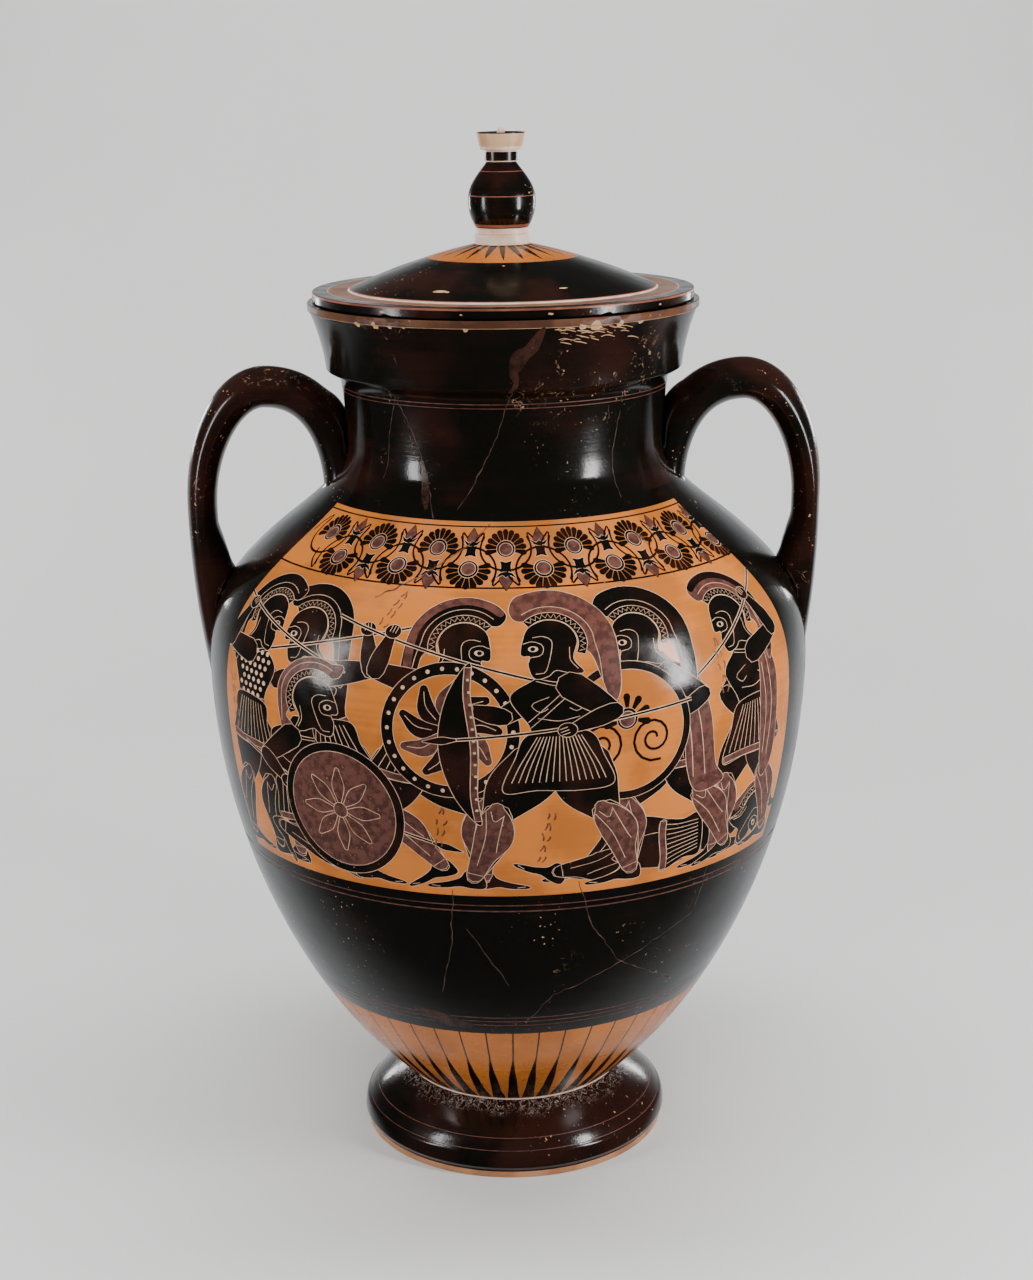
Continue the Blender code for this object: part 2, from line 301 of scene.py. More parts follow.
def area(outline):
    """Signed area of a closed outline: half the sum of its cross products."""
    ahead = np.roll(outline, -1, axis=0)
    return 0.5 * float(np.sum(outline[:, 0] * ahead[:, 1] - ahead[:, 0] * outline[:, 1]))


def band_along(line, width, caps=True):
    """The outline of a line drawn with a width: both sides at half the width, and half circles for ends."""
    side = across(line)
    ahead = np.stack((side[:, 1], -side[:, 0]), axis=1)
    half = 0.5 * np.broadcast_to(width, (len(line),))[:, None]
    left, right = line[:, :2] + half * side, (line[:, :2] - half * side)[::-1]
    if not caps:
        return np.vstack((left, right))
    turn = np.radians((45.0, 90.0, 135.0))[:, None]
    head = line[-1, :2] + half[-1] * (np.cos(turn) * side[-1] + np.sin(turn) * ahead[-1])
    tail = line[0, :2] - half[0] * (np.cos(turn) * side[0] + np.sin(turn) * ahead[0])
    return np.vstack((left, head, right, tail))


def limb(points, widths, step=1.8):
    """A tapering limb: a smooth centre line whose width changes smoothly through the widths given."""
    line = through(np.column_stack((points, widths)), step=step)
    return band_along(line, np.maximum(line[:, 2], 0.3))


def stroke(points, width=SCRATCH, step=1.8):
    """A thin even line through points."""
    return band_along(through(points, step=step), width, caps=False)


def disc(centre, radius, tall=1.0, step=1.6):
    """An ellipse with its height as a share of its width."""
    turn = np.linspace(0.0, 2 * math.pi, max(8, int(2 * math.pi * radius / step)), endpoint=False)
    return np.stack((centre[0] + radius * np.cos(turn), centre[1] + radius * tall * np.sin(turn)), axis=1)


def arc_line(centre, radius, start, end, tall=1.0, steps=9):
    """Points on part of an ellipse, angles in degrees from +x anticlockwise."""
    turn = np.radians(np.linspace(start, end, steps))
    return np.stack((centre[0] + radius * np.cos(turn), centre[1] + radius * tall * np.sin(turn)), axis=1)


def moved(shapes, at=(0.0, 0.0), flip=False, turn=0.0):
    """Painted shapes turned about their origin, mirrored if flipped, and put in their place."""
    sign = np.array((-1.0 if flip else 1.0, 1.0))
    c, s = math.cos(math.radians(turn)), math.sin(math.radians(turn))
    rule = np.array(((c, s), (-s, c)))
    return [(paint, (outline @ rule) * sign + np.array(at)) for paint, outline in shapes]


def edged(paint, outline, line="line", gap=SCRATCH):
    """A filled shape with a scratched line round it, which shows against its neighbours."""
    return [(line, swollen(outline, gap)), (paint, outline)]


# Painted figures, each made of (paint, outline) pairs in the order in which they are laid on

def scratches(lines, width=SCRATCH):
    """Scratched lines through several lists of points."""
    return [("line", stroke(points, width)) for points in lines]


def around(radius, count):
    """Points spaced evenly on a circle about the origin."""
    turn = np.arange(count) * 2 * math.pi / count
    return np.stack((radius * np.cos(turn), radius * np.sin(turn)), axis=1)


def helmet():
    """A closed helmet in profile, facing +x, with the middle of its bowl at the origin, and a plain eye."""
    bowl = through([(-9.6, -9.0), (-13.8, -16.2), (-8.0, -16.4), (-1.5, -14.6), (2.2, -17.6), (8.0, -18.4),
                    (10.4, -11.6), (9.4, -7.0), (13.4, -6.4), (12.6, 1.0), (9.4, 8.6), (0.8, 12.4),
                    (-8.2, 9.4), (-12.2, 1.0)], True, 1.4)
    shapes = edged("black", bowl)
    shapes += scratches([
        [(12.6, -0.4), (8.2, 0.8), (3.6, -1.6), (4.4, -6.4), (9.2, -7.6)],
        [(8.0, 3.0), (3.0, 3.4), (-0.6, 0.6), (0.2, -6.0), (1.8, -12.0), (3.4, -15.6), (7.4, -16.2)],
        [(-8.4, -3.0), (-8.2, -9.6), (-11.4, -14.4)],
    ])
    shapes += [("line", disc((8.0, -3.2), 2.3, 0.66, 0.8)), ("black", disc((8.2, -3.2), 1.15, 1.0, 0.6))]
    return shapes


def zigzag(low, high, start, end, count):
    """A zigzag between two radii about the origin."""
    turn = np.radians(np.linspace(start, end, count))
    radius = np.where(np.arange(count) % 2, low, high)
    line = np.stack((radius * np.cos(turn), radius * np.sin(turn)), axis=1)
    return [("line", band_along(line, SCRATCH, caps=False))]


def crest(hair, trim=None, reach=28.0, tail=30.0):
    """A crest that hugs the bowl: a zigzag holder, then thick hair that falls behind the neck."""
    outer = arc_line((0, 0), reach, 58.0, 178.0, 1.0, 9)
    front = [(16.0, 12.8), (18.6, 18.4)]
    back = [(-reach, -9.0), (-reach + 1.0, -tail + 7.0), (-reach + 5.0, -tail)]
    inside = [(-reach + 8.0, -tail + 10.0), (-18.6, -9.0)]
    inner = arc_line((0, 0), 16.6, 196.0, 48.0, 1.0, 9)
    outline = through(np.vstack((front, outer, back, inside, inner)), True, 1.8)
    shapes = edged(hair, outline)
    if trim:
        edge = np.vstack((arc_line((0, 0), reach - 2.4, 52.0, 176.0),
                          [(-reach + 2.6, -9.0), (-reach + 4.2, -tail + 7)]))
        shapes += [(trim, band_along(through(edge), 4.2))]
    shapes += scratches([np.vstack((arc_line((0, 0), 20.4, 52.0, 184.0),
                                    [(-21.4, -9.0), (-21.8, -tail + 12)]))])
    holder = band_along(through(arc_line((0, 0), 14.9, 44.0, 206.0)), 3.8, caps=False)
    shapes += edged("black", holder) + zigzag(13.8, 16.2, 48.0, 202.0, 30)
    return shapes


def head(at, hair, trim=None, reach=28.0, tail=30.0, turn=0.0):
    """A helmet with its crest, put on a neck."""
    return moved(crest(hair, trim, reach, tail) + helmet(), at, turn=turn)


def foot(ankle, heading, turn=0.0):
    """A foot from its ankle, flat on the ground unless it is turned."""
    sole = through([(-3.2, 3.0), (-5.4, -3.2), (-4.6, -6.6), (1.0, -6.8), (7.0, -5.6), (13.0, -6.8),
                    (20.6, -7.0), (22.4, -5.9), (19.4, -4.6), (12.4, -2.8), (6.4, 0.0), (3.2, 4.4)], True,
                    1.4)
    shapes = edged("black", sole) + scratches([[(16.0, -6.2), (20.0, -5.6)],
                                               [(-1.4, -1.4), (0.4, -3.2), (2.0, -1.6)]])
    return moved(shapes, ankle, heading < 0, turn)


def leg(hip, knee, ankle, heading=1, greave="purple", lift=0.0, thick=26.0):
    """Thigh, shin and foot, with a greave laid over the shin."""
    hip, knee, ankle = (np.array(p, dtype=float) for p in (hip, knee, ankle))
    shin = ankle - knee
    back = np.array((shin[1], -shin[0])) / np.linalg.norm(shin) * heading
    calf = knee + 0.34 * shin + 2.2 * back
    thigh = 0.5 * (hip + knee) - 1.2 * back
    shapes = foot(ankle, heading, lift)
    shapes += edged("black", limb([hip, thigh, knee], [thick, thick - 1.5, 13.5]))
    shapes += edged("black", limb([knee, calf, ankle], [13.0, 16.4, 6.4]))
    top = knee - 0.10 * shin - 1.0 * back
    shapes += edged(greave, limb([top, knee + 0.05 * shin, calf, knee + 0.66 * shin + 0.6 * back,
                                  ankle - 0.04 * shin],
                                 [6.0, 13.4, 17.0, 11.0, 7.6]))
    shapes += scratches([
        [knee - 5.0 * back - 0.02 * shin, calf - 3.6 * back, ankle - 0.2 * shin - 0.6 * back],
        [knee + 3.2 * back, calf + 2.4 * back + 0.04 * shin, calf + 3.4 * back + 0.2 * shin],
        [knee - 3.0 * back - 0.04 * shin, knee + 0.10 * shin, knee + 3.4 * back - 0.02 * shin],
    ])
    shapes += scratches([[ankle - 0.06 * shin - 3.6 * back, ankle - 0.06 * shin + 3.6 * back]])
    return shapes


def arm(shoulder, elbow, hand, thick=13.0):
    """Upper arm, forearm and a closed hand."""
    shoulder, elbow, hand = (np.array(p, dtype=float) for p in (shoulder, elbow, hand))
    reach = (hand - elbow) / max(np.linalg.norm(hand - elbow), 1e-6)
    side = np.array((-reach[1], reach[0]))
    shapes = edged("black", limb([shoulder, 0.5 * (shoulder + elbow), elbow], [thick, thick - 1.6, 8.6]))
    shapes += edged("black", limb([elbow, elbow + 0.4 * (hand - elbow), hand], [8.8, 9.0, 4.8]))
    shapes += edged("black", disc(hand + 2.6 * reach, 4.1, 0.9, 1.2))
    shapes += scratches([[hand + 2.0 * reach + k * side, hand + 5.8 * reach + k * side]
                         for k in (-1.6, 0.0, 1.6)], FINGER)
    return shapes


def frame_of(top, bottom):
    """A helper that turns shares down and across from top to bottom into points."""
    top, bottom = np.array(top, dtype=float), np.array(bottom, dtype=float)
    down = bottom - top
    side = np.array((-down[1], down[0])) / np.linalg.norm(down)
    return lambda share, offset: tuple(top + share * down + offset * side)


def torso(neck, waist, chest=37.0, dotted=False, belt="purple"):
    """Chest and waist in a fitted corslet, with its collar, belt and either curls or rows of dots."""
    at = frame_of(neck, waist)
    shapes = edged("black", limb([neck, at(0.32, 0.0), at(0.8, 0.0), waist], [17.0, chest, 26.0, 23.0]))
    if dotted:
        rows = [(share, offset + 2.1 * (i % 2)) for i, share in enumerate(np.linspace(0.12, 0.92, 7))
                for offset in np.arange(-12.0, 13.0, 4.6)]
        shapes += [("line", disc(at(share, offset), 1.35, 1.0, 0.9)) for share, offset in rows
                   if abs(offset) < 14.5 - 5.0 * share]
    else:
        shapes += scratches([
            [at(0.34, 4.0), at(0.46, 11.5), at(0.60, 8.0), at(0.54, 4.6)],
            [at(0.34, -4.0), at(0.46, -11.5), at(0.60, -8.0), at(0.54, -4.6)],
            [at(0.70, -9.0), at(0.76, 0.0), at(0.70, 9.0)],
        ])
    shapes += scratches([[at(0.06, -9.5), at(0.15, 0.0), at(0.06, 9.5)],
                         [at(0.02, -8.5), at(0.09, 0.0), at(0.02, 8.5)]])
    waist_line = through([at(1.0, -12.6), at(1.05, 0.0), at(1.0, 12.6)])
    return shapes + edged(belt, band_along(waist_line, TRIM, False))


def kilt(waist, hem, wide=42.0, trim="purple", folds=9):
    """A short pleated skirt that widens from the waist to its hem."""
    at = frame_of(waist, hem)
    half = 0.5 * wide
    outline = through([at(0.0, -12.0), at(0.45, -half * 0.84), at(0.96, -half - 1.0), at(1.04, -half * 0.4),
                       at(1.0, half * 0.4), at(1.02, half + 1.0), at(0.45, half * 0.82), at(0.0, 12.0)],
                       True)
    shapes = edged("black", outline)
    shapes += scratches([[at(0.06, 20.0 * k / folds), at(0.55, 0.78 * wide * k / folds),
                          at(0.86, 0.95 * wide * k / folds)]
                         for k in np.arange(folds) - 0.5 * (folds - 1)], FOLD)
    if trim:
        border = through([at(0.93, -half - 0.2), at(0.97, -half * 0.4), at(0.94, half * 0.4),
                          at(0.97, half + 0.2)])
        shapes += edged(trim, band_along(border, TRIM, False), gap=FOLD)
    return shapes


def spear(butt, tip):
    """A spear: a dark shaft between two scratched lines, with a leaf-shaped head at its tip."""
    butt, tip = np.array(butt, dtype=float), np.array(tip, dtype=float)
    along = (tip - butt) / np.linalg.norm(tip - butt)
    shaft = even(butt, tip - 10.0 * along, 2.2)
    shapes = [("line", band_along(shaft, SPEAR_EDGE, False)),
              ("black", band_along(shaft, SPEAR_SHAFT, False))]
    shapes += edged("black", limb([tip - 14.0 * along, tip - 8.0 * along, tip], [1.2, 3.8, 0.4], 1.2))
    return shapes


def whirl(radius, blades=9):
    """Shield device: curved blades, alternately dark and purple, turning about a boss."""
    blade = limb([(0.10 * radius, 0.0), (0.5 * radius, 0.16 * radius), (0.90 * radius, 0.02 * radius)],
                 [0.10 * radius, 0.34 * radius, 0.16 * radius], 1.4)
    shapes = []
    for k in range(blades):
        paint = "purple" if k % 3 == 2 else "black"
        shapes += moved(edged(paint, blade), turn=360.0 * k / blades)
        shapes += moved(scratches([[(0.3 * radius, 0.09 * radius), (0.6 * radius, 0.14 * radius),
                                    (0.86 * radius, 0.04 * radius)]], FOLD), turn=360.0 * k / blades)
    boss = edged("purple", disc((0, 0), 0.19 * radius))
    return shapes + boss + [("line", disc((0, 0), 0.06 * radius, 1.0, 0.8))]


def volutes(radius):
    """Shield device: a pair of spirals back to back under a small fan."""
    turn = np.linspace(0.3, 3.6 * math.pi, 26)
    grow = 0.055 * radius + 0.031 * radius * turn
    curl = np.stack((grow * np.cos(turn), grow * np.sin(turn)), axis=1)
    line = band_along(resampled(curl, False, 1.4), 1.5)
    shapes = moved([("black", line)], (0.46 * radius, -0.16 * radius))
    shapes += moved([("black", line)], (-0.46 * radius, -0.16 * radius), flip=True)
    shapes += moved(fan(0.40 * radius, 7), (0.0, 0.22 * radius))
    return shapes


def rosette(radius, paint="black"):
    """Shield device: leaf-shaped petals about a boss."""
    petal = limb([(0.16 * radius, 0.0), (0.55 * radius, 0.0), (0.92 * radius, 0.0)],
                 [0.06 * radius, 0.30 * radius, 0.10 * radius], 1.4)
    shapes = []
    for k in range(PETALS):
        shapes += moved(edged(paint, petal), turn=360.0 * k / PETALS)
    return shapes + edged("purple", disc((0, 0), 0.17 * radius))


def shield(at, radius, field, rim_width, studs, device):
    """A round shield seen from outside: rim, studs on the rim, a field and its device."""
    shapes = edged("black", disc((0, 0), radius)) + edged(field, disc((0, 0), radius - rim_width))
    if studs:
        shapes += [("line", disc(p, 1.15, 1.0, 0.9)) for p in around(radius - 0.5 * rim_width, studs)]
    return moved(shapes + device, at)


def side_shield(top, bottom, swell=17.0):
    """A round shield seen edge on, as a lens with a studded purple edge."""
    at = frame_of(top, bottom)
    outline = through([at(0.0, 0.0), at(0.2, 0.62 * swell), at(0.5, 0.9 * swell), at(0.8, 0.62 * swell),
                       at(1.0, 0.0), at(0.8, 0.02 * swell), at(0.5, -0.10 * swell), at(0.2, 0.02 * swell)],
                       True)
    edge = through([at(0.03, 0.8), at(0.2, 0.10 * swell), at(0.5, 0.0), at(0.8, 0.10 * swell),
                    at(0.97, 0.8)])
    shapes = edged("black", outline) + edged("purple", band_along(edge, 2.8, False), gap=FOLD)
    studs = [at(share, 0.09 * swell - 0.09 * swell * math.sin(math.pi * share))
             for share in np.linspace(0.1, 0.9, 12)]
    return shapes + [("line", disc(p, 0.75, 1.0, 0.7)) for p in studs]


def cloak(points, folds):
    """A hanging cloak: an outline with scratched folds."""
    return edged("purple", through(points, True)) + scratches(folds, CLOAK_FOLD)


def dabs(at, rows, turn, seed):
    """A row of pairs of short slanting strokes in dark paint."""
    rng = np.random.default_rng(seed)
    shapes = []
    for k in range(2 * rows):
        lean = rng.uniform(-0.9, 0.9)
        low = np.array((rng.uniform(-0.5, 0.5) + 3.0 * (k % 2), -6.4 * (k // 2)))
        high = low + (2.0 * lean, rng.uniform(3.0, 4.8))
        shapes.append(("scrawl", stroke([low, 0.5 * (low + high) + (0.6, 0.2), high], 1.0, 1.6)))
    return moved(shapes, at, turn=turn)


# Ornament

def fan(radius, petals):
    """A palmette opening upwards: petals round a heart, each a narrow leaf on its own ray."""
    shapes = []
    for angle in np.linspace(-0.5 * FAN_SPREAD, 0.5 * FAN_SPREAD, petals):
        leaf = limb([(0, 0.34 * radius), (0, 0.66 * radius), (0, 0.90 * radius)],
                    [0.10 * radius, 0.23 * radius, 0.31 * radius], 1.4)
        shapes += moved([("black", leaf)], turn=angle)
    shapes += edged("black", disc((0, 0), 0.44 * radius, 1.0, 1.4))
    return shapes + edged("purple", disc((0, -0.02 * radius), 0.32 * radius, 1.0, 1.4), gap=FOLD)


def bud(high=12.0):
    """A closed lotus bud standing up from a notched calyx."""
    calyx = through([(-7.0, 6.4), (-4.0, 2.6), (-3.4, -2.4), (-4.4, -5.0), (0.0, -4.0), (4.4, -5.0),
                     (3.4, -2.4), (4.0, 2.6), (7.0, 6.4), (2.4, 4.4), (0.0, 6.0), (-2.4, 4.4)], True, 1.3)
    shapes = edged("purple", limb([(0, 3.0), (0, 0.62 * high), (0, high + 1.6)], [3.4, 8.6, 0.8], 1.4),
                   "black", 0.5)
    shapes += edged("black", calyx) + scratches([[(-4.6, 3.0), (0.0, 2.0), (4.6, 3.0)]], FOLD)
    return shapes


def lotus_chain():
    """Two facing rows of palmettes and buds, half a unit apart, strung on looping tendrils."""
    half = 0.5 * CHAIN_PITCH
    level = 0.5 * CHAIN_HEIGHT - 13.6
    loop = through(arc_line((0.0, 0.6), 19.0, 152.0, 388.0, 0.80, 21), step=1.3)
    stem = through([(half, -2.0), (half - 2.4, 5.0), (half - 8.0, 10.4), (17.2, 9.2), (18.6, 5.0)], step=1.3)
    row = [("black", band_along(loop, 1.5)), ("black", band_along(stem, 1.3)),
           ("black", band_along(stem * (-1.0, 1.0), 1.3))]
    row += stout(fan(12.6, 11), 1.2)
    row += moved(bud(), (half, -0.6))
    shapes = []
    for k in np.arange(CHAIN_UNITS) - 0.5 * (CHAIN_UNITS - 1):
        shapes += moved(row, (k * CHAIN_PITCH, level))
        lower = moved(row, ((k + 0.5) * CHAIN_PITCH, level + 2.4))
        shapes += [(paint, outline * (1.0, -1.0)) for paint, outline in lower]
    return shapes


# The two painted panels

def spearman(dotted=True, hair="black", trim=None):
    """An upright warrior with a levelled spear, facing +x, standing on the origin."""
    shapes = arm((5, 115), (22, 106), (37, 113), 12.0)
    shapes += leg((6, 74), (12, 44), (10, 8), 1, "black")
    shapes += leg((-5, 74), (-10, 44), (-19, 8), 1, "black")
    shapes += torso((2, 122), (1, 92), dotted=dotted) + kilt((1, 92), (-1, 65), 36.0)
    shapes += head((5, 139), hair, trim, 26.5)
    shapes += spear((-40, 152), (66, 118))
    return shapes + arm((-3, 117), (-26, 119), (-17, 140))


def striding(hair="black", trim="purple", dotted=False):
    """A warrior in a long stride towards +x, leaning into it, with the spear drawn back overhead."""
    shapes = leg((6, 72), (33, 50), (31, 8), 1, thick=28.0)
    shapes += leg((-4, 72), (-24, 44), (-50, 15), 1, lift=-24.0, thick=28.0)
    shapes += torso((15, 119), (4, 89), dotted=dotted) + kilt((4, 90), (-1, 63), 38.0)
    shapes += head((23, 137), hair, trim, 27.5, turn=-6.0)
    shapes += spear((-44, 148), (78, 112))
    return shapes + arm((9, 115), (-18, 121), (-13, 140), 14.0)


def kneeling():
    """A warrior on one knee behind a shield, facing +x."""
    shapes = leg((2, 38), (33, 45), (35, 8), 1, "black")
    shapes += leg((-2, 36), (18, 10), (-16, 21), 1, "black", -62.0)
    shapes += torso((6, 82), (-1, 54)) + kilt((-1, 54), (4, 30), 38.0)
    shapes += head((14, 100), "purple", None, 23.0, 24.0, 8.0)
    shapes += spear((-38, 66), (86, 24))
    return shapes + arm((0, 78), (-20, 62), (-8, 52))


def champion():
    """The middle warrior, facing +x, legs wide apart, with a great purple crest and a shield edge on."""
    shapes = arm((6, 112), (24, 100), (38, 104), 12.0)
    shapes += leg((8, 74), (27, 46), (38, 8), 1, thick=28.0)
    shapes += leg((-8, 74), (-21, 45), (-35, 8), 1, thick=28.0)
    shapes += torso((0, 120), (0, 90), chest=41.0, belt="black")
    shapes += kilt((0, 91), (0, 60), 46.0, trim=None, folds=15)
    shapes += head((2, 138), "purple", None, 30.5, 34.0)
    shapes += scratches([[(-12, 118), (2, 104), (12, 94)], [(-9, 119), (4, 106), (13, 97)]])
    shapes += side_shield((38, 128), (34, 40))
    shapes += spear((-62, 100), (58, 86))
    return shapes + arm((-6, 115), (-24, 100), (-6, 93), 14.0)


def bearer(cape=True):
    """A warrior facing +x with a round shield in front and a cloak down the back."""
    shapes = leg((7, 74), (26, 48), (20, 8), 1, thick=28.0)
    shapes += leg((-5, 74), (-17, 45), (-38, 10), 1, lift=-10.0, thick=28.0)
    shapes += torso((8, 120), (1, 90)) + kilt((1, 91), (-1, 64), 38.0)
    if cape:
        shapes += cloak([(0, 121), (-13, 112), (-20, 92), (-24, 62), (-30, 50), (-14, 47), (-7, 62),
                         (-4, 88), (6, 110)],
                        [[(-4, 116), (-13, 92), (-18, 56)], [(2, 112), (-7, 90), (-11, 56)]])
    shapes += head((15, 138), "black", None, 29.0, 36.0)
    return shapes + arm((3, 115), (-16, 101), (-1, 92))


def cloaked_warrior():
    """A warrior facing +x, stepping back, with a raised spear and a cloak over the shield arm."""
    shapes = arm((6, 113), (22, 98), (12, 84), 12.0)
    shapes += leg((6, 74), (20, 46), (22, 8), 1)
    shapes += leg((-5, 74), (-10, 45), (-22, 8), 1)
    shapes += torso((4, 121), (1, 90)) + kilt((1, 91), (0, 60), 44.0, folds=11)
    shapes += cloak([(-6, 121), (-17, 108), (-20, 84), (-18, 52), (-9, 42), (-5, 62), (-4, 96)],
                    [[(-10, 114), (-14, 84), (-12, 54)], [(-6, 108), (-9, 82), (-8, 56)]])
    shapes += head((9, 138), "purple", "black", 28.0)
    shapes += spear((-34, 160), (62, 96))
    return shapes + arm((-1, 116), (-22, 124), (-12, 145))


def fallen():
    """A fallen warrior lying sideways, head towards +x."""
    shapes = leg((-14, 16), (-44, 31), (-62, 9), -1, "black", thick=22.0)
    shapes += leg((-14, 12), (-46, 13), (-76, 8), -1, "black", 30.0, 22.0)
    shapes += torso((28, 20), (2, 18), chest=31.0) + kilt((2, 18), (-22, 15), 30.0)
    shapes += arm((26, 15), (12, 4), (34, 3), 11.0)
    return shapes + head((45, 18), "black", "purple", 20.0, 16.0, -52.0)


def stout(shapes, wider=1.15):
    """A figure drawn wider about its own origin."""
    return [(paint, outline * (wider, 1.0)) for paint, outline in shapes]


def front_picture():
    """The better panel: pairs of fighting warriors over a kneeling and a fallen one."""
    shapes = moved(stout(fallen(), 1.1), (110, 3))
    shapes += moved(stout(striding("black", None)), (-94, 0), flip=True)
    shapes += moved(stout(spearman(), 1.08), (-160, 0))
    shapes += moved(stout(cloaked_warrior()), (150, 0), flip=True)
    shapes += moved(stout(bearer()), (90, 0), flip=True)
    shapes += shield((62, 88), 37.0, "clay", 4.4, 0, volutes(32.0))
    shapes += moved(stout(striding()), (-50, 0))
    shapes += shield((-30, 92), 36.0, "clay", 6.6, 26, whirl(28.0))
    shapes += moved(stout(champion(), 1.2), (26, 0), flip=True)
    shapes += moved(stout(kneeling()), (-124, 0))
    shapes += shield((-94, 41), 38.0, "purple", 4.8, 0, rosette(25.0, "purple"))
    shapes += dabs((-181, 96), 5, 8.0, 3) + dabs((-66, 163), 4, -24.0, 4) + dabs((-37, 46), 4, -8.0, 5)
    return shapes + dabs((20, 43), 5, -12.0, 6) + dabs((121, 124), 5, 4.0, 7)


def back_picture():
    """The plainer panel: four warriors in two facing pairs."""
    shapes = moved(spearman(False), (-140, 0))
    shapes += moved(bearer(False), (-52, 0), flip=True)
    shapes += shield((-78, 90), 33.0, "purple", 5.0, 24, rosette(24.0))
    shapes += moved(striding("purple", None), (46, 0))
    shapes += shield((66, 90), 33.0, "clay", 5.0, 0, whirl(25.0, 6))
    return shapes + moved(spearman(True), (142, 0), flip=True)


# Turned outlines, in metres

def joined(pieces, radius=0.0006):
    """Curves joined into one outline, each corner between them eased by a short parabola."""
    line = np.array(pieces[0], dtype=float)
    share = np.linspace(0.0, 1.0, 5)[:, None]
    for piece in pieces[1:]:
        piece = np.array(piece, dtype=float)
        corner, before, after = line[-1], line[-2], piece[0]
        into, out = before - corner, after - corner
        into_length, out_length = np.linalg.norm(into), np.linalg.norm(out)
        start = corner + into / into_length * min(radius, 0.4 * into_length)
        end = corner + out / out_length * min(radius, 0.4 * out_length)
        ease = (1 - share) ** 2 * start + 2 * share * (1 - share) * corner + share ** 2 * end
        line = np.vstack((line[:-1], ease, piece))
    return line


def straight(start, end, steps=2):
    """Even points on a straight line, its first point left out."""
    return np.linspace(start, end, steps + 1)[1:]


def set_in(line, distance):
    """A line that runs downwards, moved inwards along its normals."""
    return line - distance * across(line)


def body_wall(shoulder_steps, belly_steps, foot_steps):
    """The outside from the neck's foot down to the body's: shoulder, belly and the fall to the stem.

    Three cubic curves that share their directions where they meet, so that the line has no corner.
    """
    spread = BELLY_RADIUS - NECK_RADIUS
    turn = np.array((NECK_RADIUS + TURN_AT[0] * spread, BELLY_AT + TURN_AT[1] * SHOULDER_RISE))
    along = np.array((TURN_SLOPE[0] * spread, TURN_SLOPE[1] * SHOULDER_RISE))
    upper = ((NECK_RADIUS, WAIST_AT - WAIST_PULL * SHOULDER_RISE), turn - TURN_PULL[0] * along, turn)
    belly = (BELLY_RADIUS, BELLY_AT)
    lower = (turn + TURN_PULL[1] * along, (BELLY_RADIUS, BELLY_AT + BELLY_PULL[0] * SHOULDER_RISE), belly)
    rise = BELLY_AT - FOOT_HEIGHT
    stem_spread = BELLY_RADIUS - STEM_RADIUS
    under = ((BELLY_RADIUS, BELLY_AT - BELLY_PULL[1] * rise),
             (STEM_RADIUS + STEM_PULL[0] * stem_spread, FOOT_HEIGHT + STEM_PULL[1] * rise),
             (STEM_RADIUS, FOOT_HEIGHT))
    return np.vstack((arc((NECK_RADIUS, WAIST_AT), *upper, shoulder_steps), arc(turn, *lower, belly_steps),
                      arc(belly, *under, foot_steps)))


def vessel_inside(seat):
    """The inner outline: from the middle of the floor up the wall, through the throat, to the lid's seat."""
    floor_at = FOOT_HOLLOW_DEPTH + FLOOR_THICKNESS
    inner = set_in(np.vstack(((NECK_RADIUS, WAIST_AT), body_wall(*INNER_STEPS))), WALL)[1:]
    inner = inner[inner[:, 1] > floor_at + WALL]
    last = inner[-1]
    bottom = arc(last, (0.80 * last[0], floor_at), (0.5 * last[0], floor_at), (0.0, floor_at), 6)
    waist = np.array((NECK_RADIUS - WALL, WAIST_AT))
    throat = arc(seat, (SEAT_RADIUS - 0.0030, seat[1] - 0.010),
                 (waist[0], waist[1] + 0.45 * (seat[1] - waist[1])), waist, 8)
    return np.vstack((seat, throat, inner, bottom))[::-1]


def lip_flare():
    """The lip's outside: one cubic curve from under the mouth band down to the overhang."""
    top = (MOUTH_RADIUS - 1.4 * MOUTH_BAND_SET_BACK, RIM_AT - MOUTH_BAND)
    corner = (LIP_BASE_RADIUS, LIP_AT + LIP_OVERHANG_DROP)
    out, fall = top[0] - corner[0], top[1] - corner[1]
    flare = arc(top, (top[0] - 0.50 * out, top[1] - 0.33 * fall),
                (corner[0] + 0.12 * out, corner[1] + 0.33 * fall), corner, 10)
    return top, flare


def foot_outside():
    """The foot's face and edge: two cubic curves from the stem to its widest place."""
    shoulder_spread = FOOT_SHOULDER_RADIUS - STEM_RADIUS
    drop = FOOT_HEIGHT - FOOT_SHOULDER_AT
    shoulder = (FOOT_SHOULDER_RADIUS, FOOT_SHOULDER_AT)
    widest = (FOOT_RADIUS, FOOT_WIDEST_AT)
    foot_face = arc((STEM_RADIUS, FOOT_HEIGHT),
                    (STEM_RADIUS + 0.30 * shoulder_spread, FOOT_HEIGHT - 0.22 * drop),
                    (FOOT_SHOULDER_RADIUS - 0.16 * shoulder_spread, FOOT_SHOULDER_AT + 0.30 * drop),
                    shoulder, 10)
    foot_edge = arc(shoulder,
                    (FOOT_SHOULDER_RADIUS + 0.55 * (FOOT_RADIUS - FOOT_SHOULDER_RADIUS), FOOT_SHOULDER_AT),
                    (FOOT_RADIUS, FOOT_WIDEST_AT + 0.45 * (FOOT_SHOULDER_AT - FOOT_WIDEST_AT)), widest, 6)
    return np.vstack((foot_face, foot_edge))


